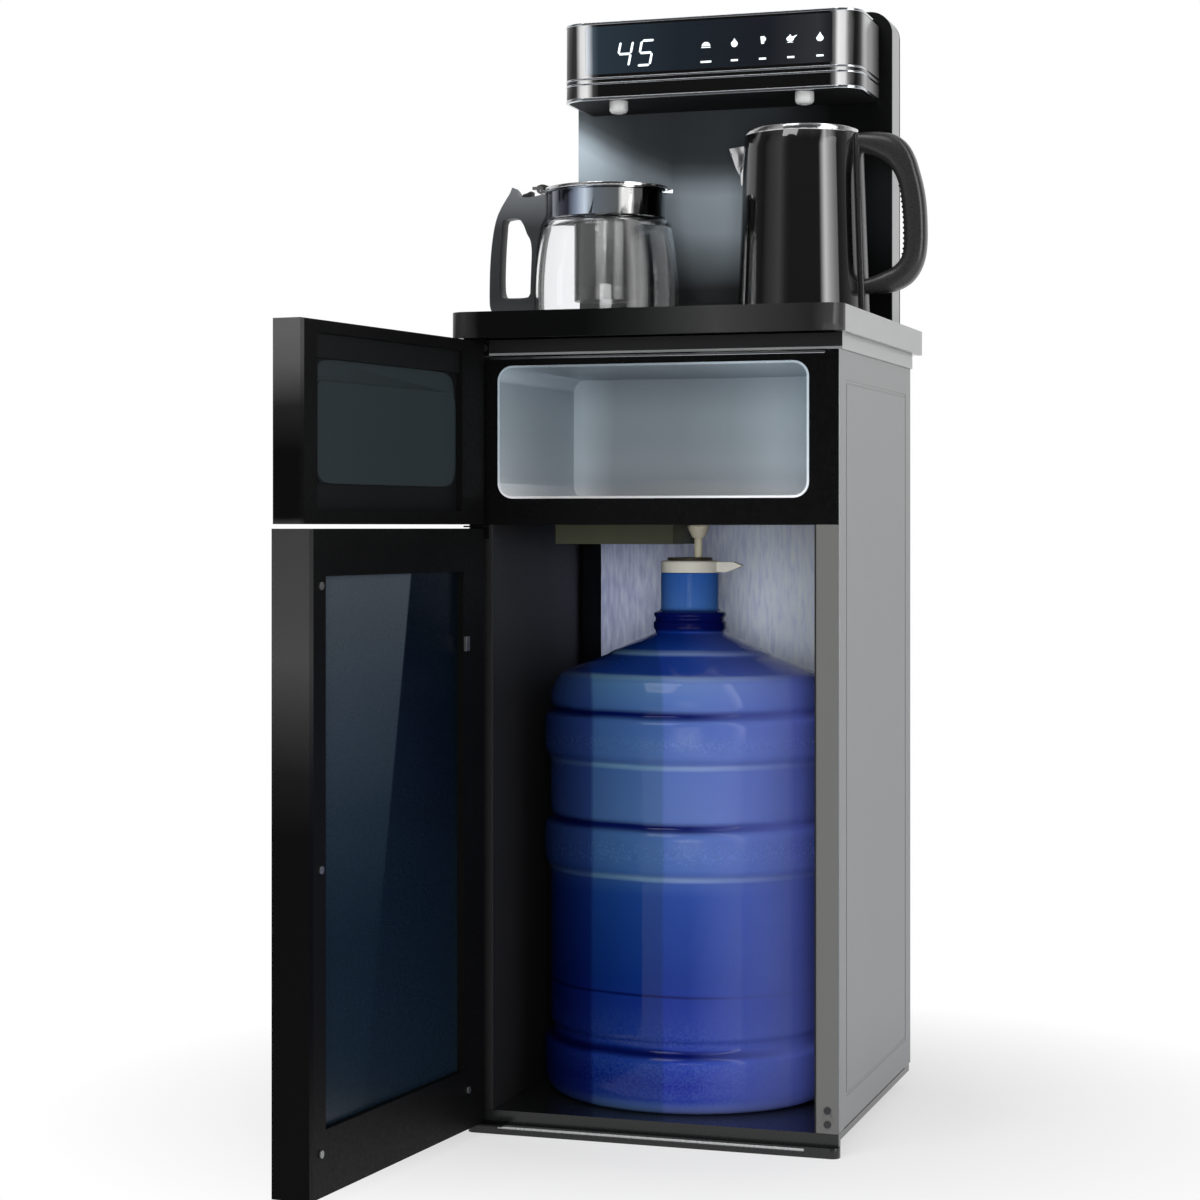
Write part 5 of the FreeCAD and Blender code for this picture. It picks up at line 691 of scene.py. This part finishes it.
def smooth_run(points, steps=5):
    """Points on a smooth line through the given ones, whatever their number of values."""
    out = []
    for i in range(len(points) - 1):
        a, b = points[max(i - 1, 0)], points[i]
        c, d = points[i + 1], points[min(i + 2, len(points) - 1)]
        for step in range(steps):
            t = step / steps
            out.append(tuple(
                0.5 * (2 * q + (r - p) * t + (2 * p - 5 * q + 4 * r - s) * t * t
                       + (3 * q - p - 3 * r + s) * t ** 3)
                for p, q, r, s in zip(a, b, c, d)))
    return out + [tuple(points[-1])]


def squared(angle, power):
    """Point on a round cornered square of half width 1; the higher the power, the sharper its corners."""
    c, s = math.cos(angle), math.sin(angle)
    return math.copysign(abs(c) ** (2 / power), c), math.copysign(abs(s) ** (2 / power), s)


def bar_along(stations, y, power=3.0, count=28):
    """Soft edged bar in the XZ plane: each station is outer x, z, inner x, z and half its width."""
    rings = []
    for ox, oz, ix, iz, half in smooth_run(stations):
        cx, cz, dx, dz = (ox + ix) / 2, (oz + iz) / 2, (ox - ix) / 2, (oz - iz) / 2
        ring = []
        for j in range(count):
            c, s = squared(2 * math.pi * j / count, power)
            ring.append((cx + dx * c, y + half * s, cz + dz * c))
        rings.append(ring)
    return skin(rings)


def plate(loops, y0, y1, soft, name):
    """Flat piece in the XZ plane with rounded edges: the first loop is its outline, the rest are holes."""
    curve = bpy.data.curves.new(name, "CURVE")
    curve.dimensions = "2D"
    curve.fill_mode = "BOTH"
    curve.extrude = ((y1 - y0) / 2 - soft) * MM
    curve.bevel_depth = soft * MM
    curve.bevel_resolution = 3
    curve.offset = -soft * MM
    for loop in loops:
        line = curve.splines.new("POLY")
        line.points.add(len(loop) - 1)
        for point, (x, z) in zip(line.points, loop):
            point.co = (x * MM, z * MM, 0, 1)
        line.use_cyclic_u = True
    holder = bpy.data.objects.new(name, curve)
    scene.collection.objects.link(holder)
    bpy.context.view_layer.update()
    mesh = bpy.data.meshes.new_from_object(holder.evaluated_get(bpy.context.evaluated_depsgraph_get()))
    bpy.data.objects.remove(holder)
    for v in mesh.vertices:
        v.co = (v.co.x, (y0 + y1) / 2 * MM - v.co.z, v.co.y)
    shape = bmesh.new()
    shape.from_mesh(mesh)
    bmesh.ops.remove_doubles(shape, verts=shape.verts, dist=SAME_PLACE)
    bmesh.ops.recalc_face_normals(shape, faces=shape.faces)
    shape.to_mesh(mesh)
    shape.free()
    return mesh


# water bottle: foot, two bulged bands and the stepped shoulder, with walls two millimetres thick
# each point is the radius, the height over the foot and how far the corner's rounding reaches
BOTTLE_FOOT = 20
BOTTLE_OUTSIDE = [
    (0, 5, 0), (70, 3.5, 20), (104, 0, 6), (136, 0, 25), (136, 50, 4), (128, 56.5, 3), (128, 63, 3),
    (131, 67.5, 3), (131, 209, 5), (136, 216, 4), (136, 250, 5), (128.5, 257, 3), (131, 263, 3),
    (131, 311, 5), (136, 318, 4), (136, 350, 4), (128, 357, 2.5), (131, 362.5, 3), (130, 374, 6),
    (124, 387, 4), (119, 390.5, 3), (77, 406.5, 4), (72, 410.2, 3), (31.5, 427.5, 3), (34.2, 431, 1.5),
    (34.2, 437, 1), (32.4, 438.5, 1), (32.4, 441, 1), (33.8, 442.5, 1), (33.8, 446, 1.2), (27.3, 448, 3),
    (27.3, 483, 0.8), (25, 483, 0.4), (25, 491.5, 0.6),
]
BOTTLE_INSIDE = [
    (23, 491.5, 0.6), (23, 440, 4), (30, 426, 4), (70, 408.4, 3), (76, 404.6, 3), (117.5, 388.5, 4),
    (122.5, 385.5, 4), (128, 373.5, 6), (129, 363, 3), (126, 357, 2.5), (134, 349, 4), (134, 319, 4),
    (129, 311.5, 4), (129, 263, 3), (126.5, 257, 3), (134, 249, 4), (134, 217, 4), (129, 209.5, 4),
    (129, 68, 3), (126, 63, 3), (126, 57, 3), (134, 49, 4), (134, 3, 23), (104, 2.5, 6), (70, 6, 20),
    (0, 7.5, 0),
]
section = [(r, BOTTLE_FOOT + z) for r, z in eased(BOTTLE_OUTSIDE) + eased(BOTTLE_INSIDE)]
piece("water_bottle_shell", turned(section, *BOTTLE_AXIS), "bottle", "water_bottle", ["bottle"], 40)

CAP_OUTSIDE = [(24.95, 503.2, 0), (27.2, 503.2, 0.6), (27.3, 513.4, 1.6), (25.4, 514.4, 0.6), (21, 514.5, 0.2),
               (21, 517.4, 0.8), (0, 517.5, 0), (0, 511.6, 0), (24.95, 511.6, 0)]
piece("bottle_cap_shell", turned(eased(CAP_OUTSIDE), *BOTTLE_AXIS), "cap", "water_bottle", ["bottle_cap"], 40)
TAB = [(18, 504.2), (27, 503.4), (31, 503.6), (46.8, 509.6), (38, 513.3), (18, 513.6)]
TAB_HALF = 4.5
tab = plate([TAB], BOTTLE_AXIS[1] - TAB_HALF, BOTTLE_AXIS[1] + TAB_HALF, 0.8, "tab")
piece("bottle_cap_tab", tab, "cap", "water_bottle", crease=50)

# kettle handle: a bowed grip on a spine that runs down the jug, ribbed where the fingers go
# each station is the outer and the inner place, across from the axis and up, and half the width
GRIP_STATIONS = [
    (54, 917.2, 54, 899.5, 11), (66, 917.0, 66, 895.5, 12), (78, 916.2, 77, 889.5, 12),
    (88, 914.0, 84.5, 883.5, 12), (96, 909.5, 89, 877.5, 12), (103, 902, 92, 871, 12),
    (108.5, 891, 94.5, 863, 12), (112.5, 878, 96, 853, 12), (116, 864, 97.2, 842, 12),
    (118.4, 848, 98, 830, 12), (119.4, 830, 98.2, 819, 12), (119.4, 812, 98, 808, 12),
    (117.5, 797, 96.5, 800, 12), (113, 785, 92.5, 793.5, 12), (106, 775.5, 86.5, 788.5, 12),
    (97, 769.5, 79, 785.5, 12), (86, 766, 71, 782, 12), (74, 765, 64, 779.5, 11.5), (56, 764.5, 57, 778, 11),
]
kx, ky = KETTLE_AXIS
grip = bar_along([(kx + a, b, kx + c, d, w) for a, b, c, d, w in GRIP_STATIONS], ky)
piece("kettle_grip", grip, "grip", "kettle", ["kettle_handle"], 60)


JUG_FOOT, JUG_HEIGHT = 741, 174.5
JUG_RADIUS, JUG_TAPER = 60.5, 6.5
SPINE_FOOT, SPINE_STEP, SPINE_STEPS, SPINE_TOP = 745, 24.2, 8, 915.4


def jug_radius(z):
    return JUG_RADIUS - JUG_TAPER * (z - JUG_FOOT) / JUG_HEIGHT


def spine_ring(z, proud):
    """Section of the spine at one height, standing proud of the jug, its outer corners rounded."""
    base = jug_radius(z)
    ring = []
    for degrees, out in ((-11.5, -1), (-11.5, proud - 1.6), (-10.6, proud - 0.4), (-9, proud), (-3, proud),
                         (3, proud), (9, proud), (10.6, proud - 0.4), (11.5, proud - 1.6), (11.5, -1), (0, -1)):
        a = math.radians(degrees)
        ring.append((kx + (base + out) * math.cos(a), ky + (base + out) * math.sin(a), z))
    return ring


spine = ([spine_ring(SPINE_FOOT - 1, 2)]
         + [spine_ring(SPINE_FOOT + SPINE_STEP * i, 4) for i in range(SPINE_STEPS)]
         + [spine_ring(SPINE_TOP, 3)])
piece("kettle_spine", skin(spine), "grip", "kettle", crease=40)

BEAK_ROOT = 54


def beak_ring(z, tip, half):
    """Section of the pouring beak: its tip's place, and half its width where it meets the jug."""
    a = kx - BEAK_ROOT
    return [(tip, ky, z), (a - 4, ky - half * 0.75, z), (a + 3, ky - half, z), (a + 3, ky + half, z),
            (a - 4, ky + half * 0.75, z)]


beak = [beak_ring(871.5, 31.6, 3), beak_ring(889, 24.6, 9), beak_ring(907.2, 18.4, 13.4)]
piece("kettle_beak", skin(beak), "steel", "kettle", crease=30)

# ribs on the grip's inner face, past the bend where the fingers go
RIB_FOOT, RIB_STEP, RIB_COUNT = 801, 4.9, 14
RIB_HALF = (1.4, 10.2, 1.3)
RIB_OUT = 0.6
FINGER_SIDE = 90
inner_face = [p for p in smooth_run([(s[2], s[3]) for s in GRIP_STATIONS], 12) if p[0] > FINGER_SIDE]
ribs = bmesh.new()
for i in range(RIB_COUNT):
    z = RIB_FOOT + RIB_STEP * i
    x = kx + min(inner_face, key=lambda p: abs(p[1] - z))[0]
    ball = bmesh.ops.create_uvsphere(ribs, u_segments=16, v_segments=10, radius=1)
    for v in ball["verts"]:
        v.co = ((x + RIB_OUT + v.co.x * RIB_HALF[0]) * MM, (ky + v.co.y * RIB_HALF[1]) * MM,
                (z + v.co.z * RIB_HALF[2]) * MM)
rib_mesh = bpy.data.meshes.new("ribs")
ribs.to_mesh(rib_mesh)
ribs.free()
piece("kettle_grip_ribs", rib_mesh, "rubber", "kettle", crease=60)

# teapot handle: flat sided loop with a thumb horn, open between the grip and the web beside the glass
# its outlines are measured leftwards from a line a little to the right of the teapot's axis
HANDLE_LINE = 2.5
HANDLE_HALF = 10
LEVER_HALF = 6.5
tx, ty = TEAPOT_AXIS[0] + HANDLE_LINE, TEAPOT_AXIS[1]


def leftwards(points):
    return [(tx - a, z) for a, z in points]


OUTER_EDGE = (
    [(61.5, 868.6), (64, 869.2), (72, 867.4), (80, 866.4), (86, 867.0), (90.5, 869.6), (93.6, 874.2),
     (95.8, 876.6)]
    + smooth_run([(96.6, 875.6), (98.5, 871), (102.8, 864.5), (108, 856), (112, 847), (115, 835), (117.4, 818),
                  (118.8, 800), (119.3, 783), (119.4, 768), (118.6, 759.5), (115.5, 754.4), (110, 752.2)])
    + [(98, 752), (84, 752), (68, 752.2)]
    + smooth_run([(72.0, 753.5), (72.1, 762), (72.1, 774), (71.8, 788), (71.0, 802), (69.8, 816), (67.9, 829),
                  (65.8, 837)])
    + [(63.6, 842.5), (60.6, 848), (60.6, 864), (60.9, 867.6)])
OPENING_EDGE = (
    smooth_run([(104, 845.4), (96, 846.6), (89, 845.4), (84.4, 839.5), (81, 831), (77.6, 824.5), (76.2, 815),
                (76.6, 800), (77.2, 785), (77.6, 773)])
    + smooth_run([(79.5, 769.6), (85, 768.8), (97, 768.8), (104.5, 769.6), (107.6, 774), (108.4, 784),
                  (108.2, 800), (107.4, 818), (106.4, 832), (105.6, 842)]))
handle = plate([leftwards(OUTER_EDGE), leftwards(OPENING_EDGE)], ty - HANDLE_HALF, ty + HANDLE_HALF, 1.6,
               "handle")
piece("teapot_grip", handle, "grip_grey", "teapot", ["teapot_handle"], 50)

# dark lever on the lid's edge, arched over the hinge, and a rest on the handle clear of the opened lid
LEVER = smooth_run([(56, 874.2), (60, 877), (65, 878.8), (69, 878.4), (72.5, 876.6), (73.8, 874.4)])
LEVER_UNDER = smooth_run([(73.0, 873.6), (70.5, 874.2), (65, 875.2), (60.5, 874), (57, 872.8)])
REST = [(77.6, 872.6), (79, 872.2), (81.5, 871.0), (86, 869.8), (87, 867.4), (80, 865.6), (77.6, 866.8)]
for name, outline, body in (("teapot_lid_lever", LEVER + LEVER_UNDER, "teapot_cover"),
                            ("teapot_thumb_rest", REST, "teapot")):
    mesh = plate([leftwards(outline)], ty - LEVER_HALF, ty + LEVER_HALF, 0.6, name)
    piece(name, mesh, "grip", body, crease=50)


# display: two slanted figures, five plain symbols and an indicator bar under each
FACE = 31.7
PROUD = 0.15
SLANT = 0.2
FIGURE_LOW, FIGURE_HIGH = 989.5, 1013.0
FIGURE_MIDDLE = (FIGURE_LOW + FIGURE_HIGH) / 2
FIGURE_WIDTH = 12.2


def flat_marks(shapes, name):
    """Thin lit shapes on the display's face, as one piece."""
    mesh = bmesh.new()
    for shape in shapes:
        front = [mesh.verts.new((x * MM, (FACE - PROUD) * MM, z * MM)) for x, z in shape]
        back = [mesh.verts.new((x * MM, FACE * MM, z * MM)) for x, z in shape]
        mesh.faces.new(front)
        for j in range(len(shape)):
            k = (j + 1) % len(shape)
            mesh.faces.new((front[j], back[j], back[k], front[k]))
    bmesh.ops.recalc_face_normals(mesh, faces=mesh.faces)
    data = bpy.data.meshes.new(name)
    mesh.to_mesh(data)
    mesh.free()
    piece(name, data, "lit", "cabinet", crease=20)


def segment(a, b, half=1.1, gap=0.35):
    """One bar of a figure, pointed at both ends."""
    p, q = Vector(a), Vector(b)
    way = (q - p).normalized()
    side = Vector((-way.y, way.x)) * half
    p, q = p + way * gap, q - way * gap
    corners = [p, p + way * half + side, q - way * half + side, q, q - way * half - side, p + way * half - side]
    return [(v.x + SLANT * (v.y - FIGURE_LOW), v.y) for v in corners]


BARS = {
    "a": ((0, FIGURE_HIGH), (1, FIGURE_HIGH)), "b": ((1, FIGURE_MIDDLE), (1, FIGURE_HIGH)),
    "c": ((1, FIGURE_LOW), (1, FIGURE_MIDDLE)), "d": ((0, FIGURE_LOW), (1, FIGURE_LOW)),
    "f": ((0, FIGURE_MIDDLE), (0, FIGURE_HIGH)), "g": ((0, FIGURE_MIDDLE), (1, FIGURE_MIDDLE)),
}
figures = []
for left, lit in ((-90.0, "bcfg"), (-68.8, "acdfg")):
    for bar in lit:
        (x0, z0), (x1, z1) = BARS[bar]
        figures.append(segment((left + FIGURE_WIDTH * x0, z0), (left + FIGURE_WIDTH * x1, z1)))
flat_marks(figures, "display_figures")


def round_mark(x, z, rx, rz, end=360, count=20):
    """Oval round x, z, or the part of it from the right end up to an angle in degrees."""
    angles = [math.radians(end * i / count) for i in range(count + (end < 360))]
    return [(x + rx * math.cos(a), z + rz * math.sin(a)) for a in angles]


symbols = [
    round_mark(-0.9, 1004.2, 4.2, 4.0, 180), [(-5.4, 1003.4), (3.6, 1003.4), (3.6, 1002.6), (-5.4, 1002.6)],
    round_mark(26.9, 1005.0, 3.2, 3.2), [(25.6, 1008.0), (28.2, 1008.0), (26.9, 1010.2)],
    [(52.2, 1010.4), (56.4, 1010.4), (55.6, 1003.4), (53.0, 1003.4)],
    [(55.9, 1009), (57.6, 1009), (57.0, 1006), (55.7, 1006)],
    round_mark(80.9, 1006.6, 3.6, 2.6), [(83.6, 1006.2), (87.4, 1009.6), (86.2, 1009.9), (83.4, 1008.4)],
    round_mark(80.9, 1009.8, 0.9, 0.7), [(78.2, 1003.6), (83.6, 1003.6), (83.6, 1003.0), (78.2, 1003.0)],
    round_mark(109.4, 1005.6, 3.4, 2.8), [(106.8, 1007.0), (112.0, 1007.0), (109.6, 1011.6)],
]
flat_marks(symbols, "display_symbols")
BAR_TOP, BAR_FOOT = 990.2, 988.4
flat_marks([
    [(x - half, BAR_TOP), (x + half, BAR_TOP), (x + half, BAR_FOOT), (x - half, BAR_FOOT)]
    for x, half in ((-0.9, 5.2), (26.9, 3.4), (54.2, 3.4), (81.5, 3.4), (109.4, 3.4))], "display_bars")


# ---------------------------------------------------------------- room, light and camera
FLOOR_RADIUS = 6
# share of plain white in what is seen of the floor near the object, and where that share rises to all of it
FLOOR_NEAR = 0.6
FLOOR_RISE = (0.25, 0.62)


def mixed(tree, factor, first, second):
    """One shader turning into another as the factor goes from 0 to 1."""
    mix = tree.new("ShaderNodeMixShader")
    tree.link(factor, mix.inputs["Fac"])
    tree.link(first.outputs[0], mix.inputs[1])
    tree.link(second.outputs[0], mix.inputs[2])
    return mix


def backdrop():
    """Pale floor that keeps the object's shadow and turns white away from it."""
    bpy.ops.mesh.primitive_circle_add(vertices=96, radius=FLOOR_RADIUS, fill_type="NGON", location=(0, 0, 0))
    floor = bpy.context.object
    floor.name = "floor"
    mat = bpy.data.materials.new("floor_white")
    mat.use_nodes = True
    tree = Nodes(mat.node_tree)
    shader = shader_of(mat)
    shader.inputs["Roughness"].default_value = 0.9
    shader.inputs["Specular IOR Level"].default_value = 0.1
    tree.link(mottled(tree, 3, even(0.93), even(0.95)), base_of(mat))
    glow = tree.new("ShaderNodeEmission")
    glow.inputs["Strength"].default_value = 1
    rays = tree.new("ShaderNodeLightPath")
    seen = tree.math("MAXIMUM", rays.outputs["Is Camera Ray"], rays.outputs["Is Glossy Ray"])
    seen = tree.math("MAXIMUM", seen, rays.outputs["Is Transmission Ray"])
    apart = tree.new("ShaderNodeVectorMath", operation="LENGTH")
    tree.link(tree.place(), apart.inputs[0])
    far = tree.spread(apart.outputs["Value"], FLOOR_NEAR, 1, *FLOOR_RISE)
    finished = mixed(tree, tree.math("MULTIPLY", seen, far), shader, glow)
    tree.link(finished.outputs[0], mat.node_tree.nodes["Material Output"].inputs["Surface"])
    floor.data.materials.append(mat)


# brightness seen in reflections, by degrees turned from the front towards the right
STUDIO = ((-180, 1.0), (-126, 1.0), (-104, 0.8), (-92, 0.7), (-84, 0.12), (-66, 0.06), (-54, 0.25),
          (-30, 0.5), (-18, 0.15), (-10, 0.08), (47, 0.08), (52, 2.6), (56, 5.0), (60, 4.6), (68, 2.4),
          (78, 0.8), (87, 0.08), (110, 0.3), (136, 1.0), (180, 1.0))


def room(strength):
    """Even light all round; reflections show the white backdrop behind, a bright panel and a dim front."""
    world = bpy.data.worlds.new("studio")
    scene.world = world
    world.use_nodes = True
    world.node_tree.nodes.clear()
    tree = Nodes(world.node_tree)
    split = tree.new("ShaderNodeSeparateXYZ")
    tree.link(tree.new("ShaderNodeTexCoord").outputs["Generated"], split.inputs[0])
    turn = tree.math("ARCTAN2", split.outputs["X"], tree.math("MULTIPLY", split.outputs["Y"], -1))
    walls = along(tree, turn, [(math.radians(degrees), even(level)) for degrees, level in STUDIO])
    over = tree.spread(split.outputs["Z"], 0, 0.5, 0.3, 0.9)
    backgrounds = []
    for _ in range(3):
        background = tree.new("ShaderNodeBackground")
        background.inputs["Color"].default_value = even(1)
        backgrounds.append(background)
    dim, glossy, white = backgrounds
    dim.inputs["Strength"].default_value = strength
    tree.link(tree.math("MAXIMUM", walls, over), glossy.inputs["Strength"])
    white.inputs["Strength"].default_value = 1
    rays = tree.new("ShaderNodeLightPath")
    seen = tree.math("MAXIMUM", rays.outputs["Is Camera Ray"], rays.outputs["Is Transmission Ray"])
    lit = mixed(tree, seen, mixed(tree, rays.outputs["Is Glossy Ray"], dim, glossy), white)
    tree.link(lit.outputs[0], tree.new("ShaderNodeOutputWorld").inputs["Surface"])


def lamp(name, spot, aim, size, power):
    data = bpy.data.lights.new(name, "AREA")
    data.shape = "RECTANGLE"
    data.size, data.size_y = size
    data.energy = power
    obj = bpy.data.objects.new(name, data)
    scene.collection.objects.link(obj)
    obj.location = spot
    obj.rotation_euler = (Vector(aim) - Vector(spot)).to_track_quat("-Z", "Y").to_euler()
    obj.visible_camera = False
    return obj


CAMERA_PLACE = (0.664, -2.548, 0.546)
CAMERA_TURN = 19.09
SENSOR_WIDTH = 36
LENS = 83.58
SHIFT = (0.10, -0.0609)


def camera():
    """Level camera at the photograph's angle, fitted to the cabinet's straight edges."""
    data = bpy.data.cameras.new("camera")
    data.sensor_width = SENSOR_WIDTH
    data.lens = LENS
    data.shift_x, data.shift_y = SHIFT
    obj = bpy.data.objects.new("camera", data)
    scene.collection.objects.link(obj)
    obj.location = CAMERA_PLACE
    obj.rotation_euler = (math.radians(90), 0, math.radians(CAMERA_TURN))
    scene.camera = obj


scene.view_settings.view_transform = "Standard"
backdrop()
room(0.30)
lamp("right_box", (2.6, -0.85, 1.0), (0, 0, 0.7), (1.3, 2.0), 9)
lamp("top_box", (-0.6, -2.0, 2.8), (0, 0, 0.6), (1.4, 1.4), 26)
lamp("front_fill", (0.60, -2.75, 0.62), (0, 0, 0.45), (0.9, 0.9), 36).visible_glossy = False
camera()
